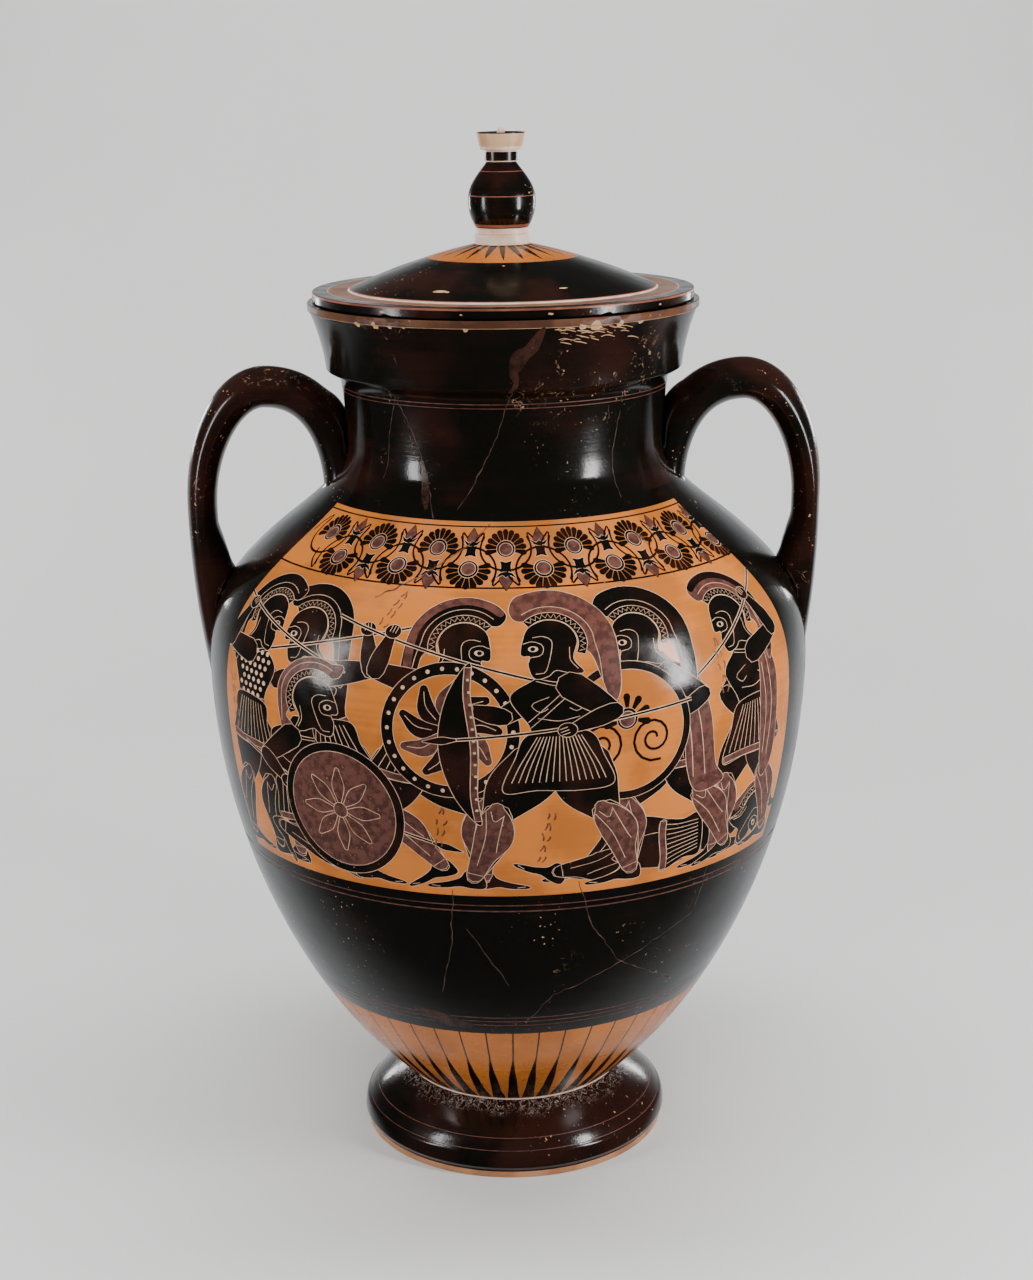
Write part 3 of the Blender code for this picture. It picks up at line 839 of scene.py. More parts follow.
def vessel_profile():
    """The whole closed outline: from the inner floor up to the rim, down the outside and under the foot.

    Returns the outline's points, and the index of the point under the lip, where depth is counted from.
    """
    neck = arc((NECK_TOP_RADIUS, LIP_AT), (NECK_RADIUS + 0.0010, LIP_AT - 0.35 * NECK_RISE),
               (NECK_RADIUS, WAIST_AT + 0.35 * NECK_RISE), (NECK_RADIUS, WAIST_AT), 9)
    band = (MOUTH_RADIUS, RIM_AT - 0.92 * MOUTH_BAND)
    flare_top, flare = lip_flare()
    ring = FOOT_BASE_RADIUS - REST_RING_WIDTH
    hollow = arc((ring, 0.0), (ring, 0.45 * FOOT_HOLLOW_DEPTH), (0.72 * ring, FOOT_HOLLOW_DEPTH),
                 (0.0, FOOT_HOLLOW_DEPTH), 10)
    seat = np.array((SEAT_RADIUS, RIM_AT - SEAT_DEPTH))
    above = joined((vessel_inside(seat), straight(seat, (SEAT_RADIUS, RIM_AT)),
                    straight((SEAT_RADIUS, RIM_AT), (MOUTH_RADIUS, RIM_AT)),
                    straight((MOUTH_RADIUS, RIM_AT), band, 1), [flare_top], flare,
                    [(NECK_TOP_RADIUS, LIP_AT)]), 0.0007)
    below = joined((np.vstack(((NECK_TOP_RADIUS, LIP_AT), neck, body_wall(*OUTER_STEPS))), foot_outside(),
                    straight((FOOT_RADIUS, FOOT_WIDEST_AT), (FOOT_BASE_RADIUS, FOOT_BASE_EDGE), 1),
                    [(FOOT_BASE_RADIUS, 0.0)], straight((FOOT_BASE_RADIUS, 0.0), (ring, 0.0)), hollow),
                   0.0007)
    return np.vstack((above[:-1], below)), len(above) - 1


def knob(base):
    """The knob's outline above the cone: spike, cup, collar, bulb and moulding, as runs to be joined."""
    seat = base + KNOB_BASE_HEIGHT
    neck = seat + BULB_HEIGHT
    crown = neck + COLLAR_HEIGHT
    rim = crown + CROWN_HEIGHT
    cup = rim - CROWN_DEPTH
    widest = seat + BULB_WIDEST_AT
    waist = seat - 0.5 * KNOB_BASE_HEIGHT
    spike = arc((0.0, cup + SPIKE_HEIGHT), (0.7 * SPIKE_RADIUS, cup + SPIKE_HEIGHT),
                (SPIKE_RADIUS, cup + 0.4 * SPIKE_HEIGHT), (SPIKE_RADIUS, cup), 6)
    upper = arc((BULB_TOP_RADIUS, neck),
                (BULB_TOP_RADIUS + 0.40 * (BULB_RADIUS - BULB_TOP_RADIUS), neck - 0.0060),
                (BULB_RADIUS, widest + 0.0090), (BULB_RADIUS, widest), 12)
    lower = arc((BULB_RADIUS, widest), (BULB_RADIUS, widest - 0.0070),
                (BULB_SEAT_RADIUS + 0.0020, seat + 0.0030), (BULB_SEAT_RADIUS, seat), 10)
    return (np.vstack(((0.0, cup + SPIKE_HEIGHT), spike)),
            straight((SPIKE_RADIUS, cup), (CROWN_RADIUS - 2 * CROWN_WALL, cup)),
            straight((CROWN_RADIUS - 2 * CROWN_WALL, cup), (CROWN_RADIUS - CROWN_WALL, rim)),
            [(CROWN_RADIUS, rim)], straight((CROWN_RADIUS, rim), (CROWN_BASE_RADIUS, crown), 3),
            [(COLLAR_RADIUS, crown)], straight((COLLAR_RADIUS, crown), (COLLAR_RADIUS, neck)),
            [(BULB_TOP_RADIUS, neck)], np.vstack((upper, lower)),
            straight((BULB_SEAT_RADIUS, seat), (BULB_SEAT_RADIUS, waist + 0.0006)),
            arc((BULB_SEAT_RADIUS, waist + 0.0006), (KNOB_BASE_RADIUS + 0.0004, waist + 0.0006),
                (KNOB_BASE_RADIUS, waist), (KNOB_BASE_RADIUS, waist - 0.0020), 4),
            [(KNOB_BASE_RADIUS, base)])


def lid_profile():
    """The lid's closed outline: from its spike down the outside, under the brim and up inside the hollow.

    Returns the outline's points, and the index of the point at the cone's top, where depth is counted from.
    """
    under = RIM_AT + LID_GAP
    brim = under + LID_EDGE
    cone_foot = brim + CONE_STEP
    base = cone_foot + CONE_RISE
    reach = CONE_RADIUS - KNOB_BASE_RADIUS
    cone = arc((KNOB_BASE_RADIUS, base),
               (KNOB_BASE_RADIUS + 0.33 * reach, base - 0.33 * CONE_RISE + CONE_BULGE),
               (KNOB_BASE_RADIUS + 0.67 * reach, base - 0.67 * CONE_RISE + CONE_BULGE),
               (CONE_RADIUS, cone_foot), 20)
    flange = SEAT_RADIUS - LID_FLANGE_CLEARANCE
    inner = CONE_RADIUS - LID_WALL
    top = base - LID_WALL
    hollow = arc((inner, under), (0.67 * inner, under + 0.33 * (top - under) + CONE_BULGE),
                 (0.33 * inner, under + 0.67 * (top - under) + CONE_BULGE), (0.0, top), 12)
    above = joined(knob(base), 0.0005)
    below = joined((np.vstack(((KNOB_BASE_RADIUS, base), cone)), [(CONE_RADIUS, brim)],
                    straight((CONE_RADIUS, brim), (LID_RADIUS, brim), 4),
                    straight((LID_RADIUS, brim), (LID_RADIUS, under)),
                    straight((LID_RADIUS, under), (flange, under)),
                    straight((flange, under), (flange, under - LID_FLANGE_DEPTH)),
                    [(flange - LID_WALL, under - LID_FLANGE_DEPTH)], [(flange - LID_WALL, under)],
                    [(inner, under)], hollow), 0.0008)
    return np.vstack((above[:-1], below)), len(above) - 1


def covers(outline, points):
    """Which points an outline winds round: its sides that cross a point's height on its right are counted.

    The rising ones count up and the falling ones down, and a point is inside where the two differ.
    """
    ahead = np.roll(outline, -1, axis=0)
    inside = []
    for part in np.array_split(points, max(1, len(points) * len(outline) // 4000000)):
        px, py = part[:, 0, None], part[:, 1, None]
        ax, ay, bx, by = outline[:, 0], outline[:, 1], ahead[:, 0], ahead[:, 1]
        cross = (bx - ax) * (py - ay) - (px - ax) * (by - ay)
        up = (ay <= py) & (by > py) & (cross > 0)
        down = (ay > py) & (by <= py) & (cross < 0)
        inside.append(up.sum(axis=1) != down.sum(axis=1))
    return np.concatenate(inside)


def thinned(outline, slack=0.06, longest=10.0):
    """An outline without the points that lie within a slack of the line between their neighbours."""
    for _ in range(3):
        if len(outline) < 9:
            break
        before, ahead = np.roll(outline, 1, axis=0), np.roll(outline, -1, axis=0)
        chord = ahead - before
        length = np.maximum(np.hypot(*chord.T), 1e-9)
        step = outline - before
        away = np.abs(chord[:, 0] * step[:, 1] - chord[:, 1] * step[:, 0]) / length
        spare = (away < slack) & (length < longest) & (np.arange(len(outline)) % 2 == 1)
        outline = outline[~spare]
    return outline


class Skin:
    """A closed surface of revolution, unrolled so that it can be painted.

    x is the angle round the axis times the paint radius, 0 in front and positive to the right. Depth is
    the length down the outline from a marked point, and y is minus the depth.
    """

    def __init__(self, profile, mark, radius, columns):
        self.points = profile
        self.radius = radius
        sides = np.diff(profile, axis=0)
        length = np.hypot(*sides.T)
        self.depth = 1000.0 * np.concatenate(([0.0], np.cumsum(length)))
        self.depth -= self.depth[mark]
        facing = np.stack((-sides[:, 1], sides[:, 0]), axis=1)
        mean = np.vstack((facing[:1], facing[:-1] + facing[1:], facing[-1:]))
        self.normal = mean / np.linalg.norm(mean, axis=1)[:, None]
        self.x = radius * np.radians(SEAM_AT + np.linspace(0.0, 360.0, columns + 1))
        self.shapes = []

    def belt(self, paint, top, bottom):
        """Paint a band all the way round between two depths."""
        edge = self.x
        upper = np.stack((edge, np.full(len(edge), -top)), axis=1)
        lower = np.stack((edge[::-1], np.full(len(edge), -bottom)), axis=1)
        self.shapes.append((paint, np.vstack((upper, lower))))

    def line(self, paint, depth, width):
        """Paint a thin ring."""
        self.belt(paint, depth - 0.5 * width, depth + 0.5 * width)

    def add(self, shapes, x=0.0, depth=0.0):
        """Paint shapes with their origin at a place, moved a turn on where that is past the left border."""
        if x < self.x[0]:
            x += self.x[-1] - self.x[0]
        self.shapes += [(paint, thinned(outline)) for paint, outline in moved(shapes, (x, -depth))]

    def depth_at(self, height, after=0.0):
        """The first depth past another at which the outline falls through a height."""
        z = self.points[:, 1]
        falls = np.flatnonzero((z[:-1] >= height) & (z[1:] < height) & (self.depth[:-1] >= after - 1e-6))[0]
        share = (z[falls] - height) / (z[falls] - z[falls + 1])
        return float(self.depth[falls] + share * (self.depth[falls + 1] - self.depth[falls]))

    def mesh(self, name, ground, paints):
        """The surface cut into triangles along every painted outline, its points on the turned form.

        A constrained Delaunay triangulation of the outlines and of a lattice of the profile's own rows;
        each triangle takes the paint of the last shape that covers it, and normals come from the profile.
        """
        top, bottom = self.depth[0], self.depth[-1]
        rows = -self.depth
        left = np.stack((np.full(len(rows), self.x[0]), rows), axis=1)
        right = np.stack((np.full(len(rows), self.x[-1]), rows[::-1]), axis=1)
        floor_line = np.stack((self.x[1:-1], np.full(len(self.x) - 2, -bottom)), axis=1)
        roof_line = np.stack((self.x[1:-1][::-1], np.full(len(self.x) - 2, -top)), axis=1)
        border = np.vstack((left, floor_line, right, roof_line))
        inner = np.stack(np.meshgrid(self.x[1:-1], rows[1:-1]), axis=-1).reshape(-1, 2)
        outlines = [border] + [outline for _, outline in self.shapes]
        starts = np.cumsum([0] + [len(outline) for outline in outlines])
        number = np.arange(starts[-1])
        after = number + 1
        after[starts[1:] - 1] = starts[:-1]
        flat = np.vstack(outlines + [inner])
        edges = np.stack((number, after), axis=1).tolist()
        found = delaunay_2d_cdt([Vector(p) for p in flat.tolist()], edges, [], 0, 1e-4, False)
        plan = np.array([(p.x, p.y) for p in found[0]])
        triangles = np.array(found[2])
        order = {paint: number for number, paint in enumerate(paints)}
        middles = plan[triangles].mean(axis=1)
        by_x = np.argsort(middles[:, 0], kind="stable")
        sorted_x = middles[by_x, 0]
        covering = np.full(len(triangles), order[ground])
        for paint, outline in self.shapes:
            low, high = outline.min(axis=0), outline.max(axis=0)
            near = by_x[np.searchsorted(sorted_x, low[0]):np.searchsorted(sorted_x, high[0])]
            near = near[(middles[near, 1] > low[1]) & (middles[near, 1] < high[1])]
            if len(near):
                covering[near[covers(outline, middles[near])]] = order[paint]
        return self.wrapped(name, plan, triangles, covering)

    def wrapped(self, name, plan, triangles, covering):
        """Wrap the plan round the axis: radius and height from the depth, the angle from x.

        Points that fall together at the seam and the poles are welded.
        """
        depth = np.clip(-plan[:, 1], self.depth[0], self.depth[-1])
        radius = np.interp(depth, self.depth, self.points[:, 0])
        height = np.interp(depth, self.depth, self.points[:, 1])
        angle = plan[:, 0] / self.radius
        place = np.stack((radius * np.sin(angle), -radius * np.cos(angle), height), axis=1)
        out = np.interp(depth, self.depth, self.normal[:, 0])
        up = np.interp(depth, self.depth, self.normal[:, 1])
        normal = np.stack((out * np.sin(angle), -out * np.cos(angle), up), axis=1)
        normal /= np.linalg.norm(normal, axis=1)[:, None]
        _, first, same = np.unique(np.round(place, 6), axis=0, return_index=True, return_inverse=True)
        same = same.ravel()
        welded = same[triangles]
        a, b, c = welded.T
        kept = (a != b) & (b != c) & (c != a)
        mesh = bpy.data.meshes.new(name)
        mesh.from_pydata(place[first].tolist(), [], welded[kept].tolist())
        mesh.polygons.foreach_set("material_index", covering[kept].astype(np.int32))
        mesh.shade_smooth()
        mesh.update()
        mesh.normals_split_custom_set(normal[triangles[kept]].reshape(-1, 3).tolist())
        return mesh


# Wear, and the painting of the vessel and the lid

def chip(at, size, seed, tall):
    """A flake of lost slip: an uneven closed outline about a point."""
    rng = np.random.default_rng(seed)
    turn = np.linspace(0.0, 2 * math.pi, CHIP_CORNERS, endpoint=False)
    radius = size * rng.uniform(0.55, 1.1, CHIP_CORNERS)
    ring = np.stack((radius * np.cos(turn), tall * radius * np.sin(turn)), axis=1)
    return [("bare", through(ring, True, 0.9) + np.array(at))]


def crack(points, width, seed, paint):
    """A break line: a path whose points wander to the side, with an uneven width."""
    rng = np.random.default_rng(seed)
    line = resampled(np.array(points, dtype=float), False, 3.2)
    line[1:-1] += rng.normal(0.0, CRACK_WANDER, line[1:-1].shape)
    widths = width * rng.uniform(0.6, 1.35, len(line))
    path = through(np.column_stack((line, widths)), step=1.8)
    return [(paint, band_along(path, np.maximum(path[:, 2], 0.15), False))]


def paint_vessel(skin):
    """Lay every painted band, panel, ray and break on the vessel's skin, from the mouth to the foot."""
    joint = skin.depth_at(FOOT_HEIGHT, 10.0)
    skin.belt("inside", skin.depth[0], -100.0 - LIP_HEIGHT * 1000.0)
    mouth_top = skin.depth_at(RIM_AT - 0.0006, -200.0)
    band_end = mouth_top + 1000.0 * MOUTH_BAND - 0.5
    skin.belt("bare_band", mouth_top - 0.6, band_end)
    skin.line("bare", band_end - 0.2, 0.7)
    skin.belt("neck_black", band_end, 60.0)
    for height, width in NECK_RINGS:
        skin.line("purple", skin.depth_at(height), width)
    panel(skin, 0.0, front_picture())
    panel(skin, math.pi * PAINT_RADIUS, back_picture())
    for depth, width in LOWER_RINGS:
        skin.line("purple", depth, width)
    # The ray zone's clay is the clay darkened: painted shade on the lower body, where it turns under towards
    # the foot.
    skin.belt("ray_clay", RAYS_FROM, joint - 0.6)
    rays(skin, joint)
    skin.belt("foot_black", joint, skin.depth[-1])
    skin.line("cream", joint - 0.2, 1.2)
    for height, width in FOOT_RINGS:
        skin.line("purple", skin.depth_at(height, joint), width)
    base = skin.depth_at(FOOT_BASE_EDGE - 0.0006, joint)
    skin.belt("foot_band", base, base + FOOT_BAND_WIDTH)
    skin.belt("inside", base + FOOT_BAND_WIDTH, skin.depth[-1])
    wear(skin, band_end)


def brushed(shapes):
    """Shapes whose black is the browner black of a brush."""
    return [("figure" if paint == "black" else paint, outline) for paint, outline in shapes]


def panel(skin, middle, picture):
    """One picture panel: clay ground, two dark lines, the lotus chain, the figures and their black frame."""
    half, swell = PANEL_HALF
    side = through([(half, -PANEL_TOP), (half + 1.5, -110.0), (half + swell, -180.0),
                    (half + 0.7 * swell, -235.0), (half, -PANEL_FOOT)], step=4.0)
    foot_edge = even(side[-1], (-side[-1, 0], side[-1, 1]), 6.0)[1:-1]
    top_edge = even((-half, -PANEL_TOP), side[0], 6.0)[1:-1]
    skin.add([("clay", np.vstack((side, foot_edge, side[::-1] * (-1.0, 1.0), top_edge)))], middle)
    for depth, width in PANEL_LINES:
        line = even((-half - 4.0, -depth), (half + 4.0, -depth), 5.0)
        skin.add([("black", band_along(line, width, False))], middle)
    skin.add(brushed(lotus_chain()), middle, CHAIN_DEPTH)
    skin.add(brushed(picture), middle, GROUND_DEPTH)
    top, foot_at = -PANEL_TOP + 4.0, -PANEL_FOOT - 5.0
    for sign in (-1.0, 1.0):
        outer = even((half + FRAME_WIDTH, foot_at), (half + FRAME_WIDTH, top), 9.0)
        frame_side = np.vstack(((half, top), side, (half, foot_at), outer))
        skin.add([("black", frame_side * (sign, 1.0))], middle)
    under = even((-half - 10.0, -PANEL_FOOT - 3.0), (half + 10.0, -PANEL_FOOT - 3.0), 6.0)
    skin.add([("black", band_along(under, 6.0, False))], middle)


def rays(skin, joint):
    """Black rays about the foot of the body: hairlines that open into leaning blades."""
    fall = joint - RAYS_FROM
    pitch = 2 * math.pi * PAINT_RADIUS / RAY_COUNT
    blade = np.array([(-0.6, 0.0), (-0.9, 0.32), (-2.5, 0.43), (-5.0, 0.56), (-6.6, 0.76),
                      (-0.47 * pitch, 0.985), (0.42 * pitch, 0.985), (5.2, 0.82), (3.6, 0.62), (1.5, 0.48),
                      (0.7, 0.36), (0.6, 0.0)])
    blade = blade * (1.0, -fall)
    sides = [resampled(blade[a:b], False, 4.0) for a, b in ((0, 6), (5, 7), (6, 12))]
    outline = np.vstack([side[:-1] for side in sides] + [sides[-1][-1:]])
    rng = np.random.default_rng(11)
    for k in range(RAY_COUNT):
        lean = rng.uniform(-0.5, 0.5)
        ray = outline + np.stack((lean * (1.0 + outline[:, 1] / fall), np.zeros(len(outline))), axis=1)
        skin.add([("figure", ray)], skin.x[0] + (k + 0.5) * pitch, RAYS_FROM)


# Flakes under the lip: place round the jar and size
LIP_FLAKES = ((-133, 3.4), (-112, 4.6), (-98, 2.6), (-84, 2.0), (-30, 3.0), (66, 4.0), (78, 6.0), (102, 4.4),
              (124, 3.6), (300, 4.0), (420, 3.0), (560, 5.0), (700, 3.4))

# Flakes of the lid: place round it, depth down its cone and size, and place and size on its edge
LID_FLAKES = ((-27, 64.0, 3.6), (-24, 64.5, 2.0), (27, 62.0, 2.4), (1, 32.0, 1.4), (90, 50.0, 2.0),
              (-120, 60.0, 2.6), (160, 66.0, 2.0))
BRIM_FLAKES = ((-38, 1.2), (-12, 0.8), (14, 1.0), (33, 1.5), (54, 0.9), (-80, 1.0), (120, 1.4))

# Break lines and mended strips: paint, points, width or widths, and the seed of a line that wanders.
# The neck's points count from under the mouth band, and each row of the body's begins with its own start.
NECK_WEAR = (
    ("mend", ((33, -1), (27, -9), (20, -14), (12, -19), (9, -25), (11, -31), (5, -38)),
     (4.0, 9.0, 8.0, 12.5, 8.0, 4.6, 2.0), None),
    ("crack", ((8, -38), (4, -47), (-8, -66), (-26, -86), (-44, -106)), 0.7, 3),
    ("crack", ((-116, -46), (-128, -66), (-136, -92)), 0.6, 4),
    ("crack", ((-116, -46), (-98, -64), (-78, -92), (-64, -112)), 0.6, 5),
    ("mend", ((-88, -80), (-80, -96), (-74, -106)), (3.0, 8.0, 3.0), None),
    ("crack", ((128, -56), (120, -76), (116, -104)), 0.6, 6),
)
BODY_WEAR = (
    (-13.0, 71.0, "crack_clay", ((0, 0), (-18, -16), (-44, -36), (-70, -52)), 0.9, 7),
    (112.0, 86.0, "crack_clay", ((0, 0), (5, -30)), 0.6, 8),
    (0.0, 0.0, "crack", ((10, -385), (28, -362), (72, -342), (122, -317), (124, -288)), 0.55, 9),
    (0.0, 0.0, "crack", ((38, -280), (48, -310), (70, -340), (124, -368)), 0.55, 10),
    (0.0, 0.0, "crack", ((-32, -284), (-36, -322), (-48, -360)), 0.5, 12),
    (0.0, 0.0, "crack", ((-26, -310), (-2, -352)), 0.5, 13),
    (0.0, 0.0, "crack", ((600, -300), (570, -340), (610, -390)), 0.55, 14),
    (0.0, 0.0, "mend", ((-72, -378), (-52, -384), (-32, -388)), (5.0, 11.0, 4.0), None),
)


def break_or_mend(paint, points, width, seed):
    """A break line that wanders by its seed, or a smooth mended strip where there is no seed."""
    if seed is None:
        return [(paint, limb(points, width))]
    return crack(points, width, seed, paint)


def wear(skin, band_end):
    """Flakes, mended strips and break lines in their places on the front, and a few behind."""
    for x, size in LIP_FLAKES:
        skin.add(chip((x, -0.4), size, 940 + x, 0.55), 0.0, band_end)
    for row in NECK_WEAR:
        skin.add(break_or_mend(*row), 0.0, band_end)
    for x, depth, *row in BODY_WEAR:
        skin.add(break_or_mend(*row), x, depth)
    rng = np.random.default_rng(200)
    for _ in range(SCRATCH_MARKS):
        x, drop = rng.uniform(42, 116), 9.0 * rng.uniform(0.05, 1.0) ** 1.9
        bend, run = rng.uniform(-0.9, 0.9), rng.uniform(4.0, 15.0)
        slash = limb([(0, 0), (0.45 * run, bend), (run, bend - 0.10 * run)],
                     [0.25, rng.uniform(0.3, 0.55), 0.2], 1.4)
        skin.add([("bare", slash)], x, band_end + drop)


def paint_lid(skin):
    """Lay the lid's rings, tongues and flakes, from the knob's spike down to the brim."""
    base = RIM_AT + LID_GAP + LID_EDGE + CONE_STEP + CONE_RISE
    seat = base + KNOB_BASE_HEIGHT
    neck = seat + BULB_HEIGHT
    crown = neck + COLLAR_HEIGHT
    cup = crown + CROWN_HEIGHT - CROWN_DEPTH
    start = skin.depth[0]
    crown_rim = skin.depth_at(crown + CROWN_HEIGHT - 0.0006, start + 10.0)
    crown_foot = skin.depth_at(crown + 0.0003, crown_rim)
    collar_end = skin.depth_at(neck + 0.0004, crown_foot)
    bulb_foot = skin.depth_at(seat + 0.0002, collar_end)
    skin.belt("cream", start, skin.depth_at(cup + 0.0002, start))
    skin.belt("crown", crown_rim, crown_foot)
    skin.belt("cream", crown_foot - 1.6, crown_foot + 3.6)
    skin.line("cream", collar_end + 0.2, 0.8)
    for height, width in BULB_RINGS:
        skin.line("red_line", skin.depth_at(height, collar_end), width)
    skin.belt("rust", bulb_foot - 2.4, bulb_foot - 0.6)
    skin.belt("ray_clay", 0.1, CONE_CLAY)
    tongue = limb([(0.0, -0.6), (0.1, -0.16 * CONE_CLAY), (0.4, -0.40 * CONE_CLAY), (0.9, -0.64 * CONE_CLAY),
                   (1.4, -0.86 * CONE_CLAY)], [14.0, 12.4, 7.6, 3.8, 0.5], 1.6)
    rng = np.random.default_rng(5)
    pitch = 2 * math.pi * LID_PAINT_RADIUS / TONGUE_COUNT
    for k in range(TONGUE_COUNT):
        long = rng.uniform(0.88, 1.06)
        skin.add([("lid_black", tongue * (rng.uniform(0.75, 1.1), long))], skin.x[0] + (k + 0.5) * pitch)
    skin.belt("cream", bulb_foot, 0.1)
    skin.line("crown", 0.5 * bulb_foot - 1.4, 0.5)
    cone_foot = 1000.0 * math.hypot(CONE_RADIUS - KNOB_BASE_RADIUS, CONE_RISE) + 0.7
    brim = cone_foot + 0.6
    outer = brim + 1000.0 * (LID_RADIUS - CONE_RADIUS)
    skin.line("rust", cone_foot - 1.0, 0.7)
    skin.line("cream", cone_foot + 0.1, 1.5)
    skin.belt("brown", brim + 0.8, brim + 11.0)
    skin.line("pale", brim + 11.6, 0.8)
    skin.line("rust", outer - 0.2, 1.1)
    for x, depth, size in LID_FLAKES:
        skin.add(chip((0, 0), size, 800 + x, 0.42), x, depth)
    for x, size in BRIM_FLAKES:
        skin.add(chip((0, 0), size, 840 + x, 0.7), x, outer + 2.4)


# Handles

def handle_line():
    """A handle's centre line from the neck over the crest to the belly, and its thickness as a scale.

    Three cubic curves, each with its handles at shares of the rise, fall and reach. The scale eases
    from the crest's thickness to the leg's, and swells again towards the root.
    """
    up, over, down = HANDLE_STEPS
    rise = HANDLE_CREST_HEIGHT - NECK_END[1]
    fall = HANDLE_CREST_HEIGHT - HANDLE_SPAN_HEIGHT
    run = HANDLE_SPAN_HEIGHT - HANDLE_ROOT_HEIGHT
    reach = HANDLE_SPAN - HANDLE_CREST
    root = BELLY_RADIUS - HANDLE_ROOT_INSET
    spring = np.array(NECK_END)
    crest_at = np.array((HANDLE_CREST, HANDLE_CREST_HEIGHT))
    span = np.array((HANDLE_SPAN, HANDLE_SPAN_HEIGHT))
    tail = np.array((root, HANDLE_ROOT_HEIGHT))
    rising = arc(spring, spring + (0.0, SPRING_PULL * rise), crest_at - (CREST_PULL[0] * reach, 0.0),
                 crest_at, up)
    falling = arc(crest_at, crest_at + (CREST_PULL[1] * reach, 0.0), span + (0.0, SPAN_PULL[0] * fall), span,
                  over)
    turning_in = tail + (ROOT_PULL[0] * (HANDLE_SPAN - root), ROOT_PULL[1] * run)
    sinking = arc(span, span - (0.0, SPAN_PULL[1] * run), turning_in, tail, down)
    line = np.vstack((spring, rising, falling, sinking))
    crest_scale = HANDLE_CREST_THICKNESS / HANDLE_THICKNESS
    smooth = np.linspace(0.0, 1.0, over)
    ease = smooth * smooth * (3 - 2 * smooth)
    tail_share = np.linspace(0.0, 1.0, down)
    tail_ease = tail_share ** 2 * (3 - 2 * tail_share)
    scale = np.concatenate(([crest_scale], np.full(up, crest_scale), crest_scale + (1 - crest_scale) * ease,
                            1.0 + ROOT_SWELL * tail_ease))
    return line, scale


def drawn_to_wall(points, facing, wall, web):
    """Points moved towards a wall where they face it and the gap is small.

    The gap left is the gap times the square root of its share of the way from the web's near to its
    far distance, so an opening ends round.
    """
    away = wall[None, None] - points[:, :, None]
    gaps = np.hypot(away[..., 0], away[..., 1])
    nearest = gaps.argmin(axis=2)
    gap = gaps.min(axis=2)[..., None]
    toward = np.take_along_axis(away, nearest[..., None, None], axis=2)[:, :, 0] / np.maximum(gap, 1e-6)
    seen = np.clip((facing * toward).sum(axis=-1) / WEB_FACING, 0.0, 1.0)[..., None]
    near, far = web[:, 0, None, None], web[:, 1, None, None]
    closed = 1.0 - np.sqrt(np.clip((gap - near) / (far - near), 0.0, 1.0))
    return points + toward * gap * closed * seen


def handle_surface(side, skin):
    """One handle: a ridged oval carried along its centre line, with its webs and its ends in the wall.

    At each step the point is the centre plus the cosine of the section's angle times the thickness
    across the line, and the sine times half the width along Y. Ends that would pass through the wall
    are held inside it.
    """
    up, over, _ = HANDLE_STEPS
    line, scale = handle_line()
    length = np.concatenate(([0.0], np.cumsum(np.hypot(*np.diff(line, axis=0).T))))
    flare = 1.0 + END_FLARE[0] * np.exp(-np.maximum(length - END_FLARE[1], 0.0) / END_FLARE[2])
    side_way = -across(line)
    turn = np.linspace(0.0, 2 * math.pi, HANDLE_SIDES, endpoint=False)
    ridge = 1.0 - RIDGE[0] + RIDGE[0] * np.exp(-(np.minimum(turn, 2 * math.pi - turn) / RIDGE[1]) ** 2)
    thick = 0.5 * HANDLE_THICKNESS * (scale * flare)[:, None] * (np.cos(turn) * ridge)[None]
    wide = 0.5 * HANDLE_WIDTH * (scale * flare)[:, None] * np.sin(turn)[None]
    past_crest = np.clip((length - length[up]) / (length[up + over] - length[up]), 0.0, 1.0)[:, None]
    facing_in = np.maximum(-np.cos(turn), 0.0)[None]
    facing_out = np.maximum(np.cos(turn), 0.0)[None]
    if side < 0:
        thick = thick - CREST_EXTRA * (1.0 - past_crest) * facing_in
    else:
        thick = thick + (CREST_EXTRA * (1.0 - past_crest) - RIGHT_SPAN_SHIFT * past_crest) * facing_out
        thick = thick - RIGHT_INNER_SHARE * RIGHT_SPAN_SHIFT * past_crest * facing_in
    below = skin.points[(skin.depth >= 0.0) & (skin.points[:, 1] >= FOOT_HEIGHT)]
    points = line[:, None] - side_way[:, None] * thick[..., None]
    facing = -side_way[:, None] * np.cos(turn)[None, :, None]
    web = np.where((np.arange(len(line)) <= up)[:, None], NECK_WEB, BELLY_WEB)
    points = drawn_to_wall(points, facing, resampled(below, False, WALL_STEP), web)
    x, z = points[..., 0], points[..., 1]
    outer = np.interp(z, below[::-1, 1], below[::-1, 0])
    radial = np.hypot(x, wide)
    near_end = (length < NECK_REACH) | (length > length[-1] - TAIL_REACH)
    least = outer - 0.5 * WALL
    push = np.where(near_end[:, None] & (radial < least), least / np.maximum(radial, 1e-6), 1.0)
    return np.stack((side * INSIDE_BOX * x * push, wide * push, z), axis=-1)


def tube_mesh(name, grids):
    """Closed tubes from grids of points: quads round and along, and a fan to a middle point at each end."""
    points, faces, start = [], [], 0
    for grid, outward in grids:
        rows, columns = grid.shape[:2]
        index = start + np.arange(rows * columns).reshape(rows, columns)
        beside = np.roll(index, -1, axis=1)
        quads = np.stack((index[:-1], index[1:], beside[1:], beside[:-1]), axis=-1).reshape(-1, 4)
        ends = start + rows * columns
        first = np.stack((index[0], beside[0], np.full(columns, ends)), axis=1)
        last = np.stack((beside[-1], index[-1], np.full(columns, ends + 1)), axis=1)
        turn = 1 if outward else -1
        faces += quads[:, ::turn].tolist() + first[:, ::turn].tolist() + last[:, ::turn].tolist()
        points += [grid.reshape(-1, 3), grid[0].mean(axis=0)[None], grid[-1].mean(axis=0)[None]]
        start = ends + 2
    mesh = bpy.data.meshes.new(name)
    mesh.from_pydata(np.vstack(points).tolist(), [], faces)
    mesh.shade_smooth()
    return mesh


# Finishes

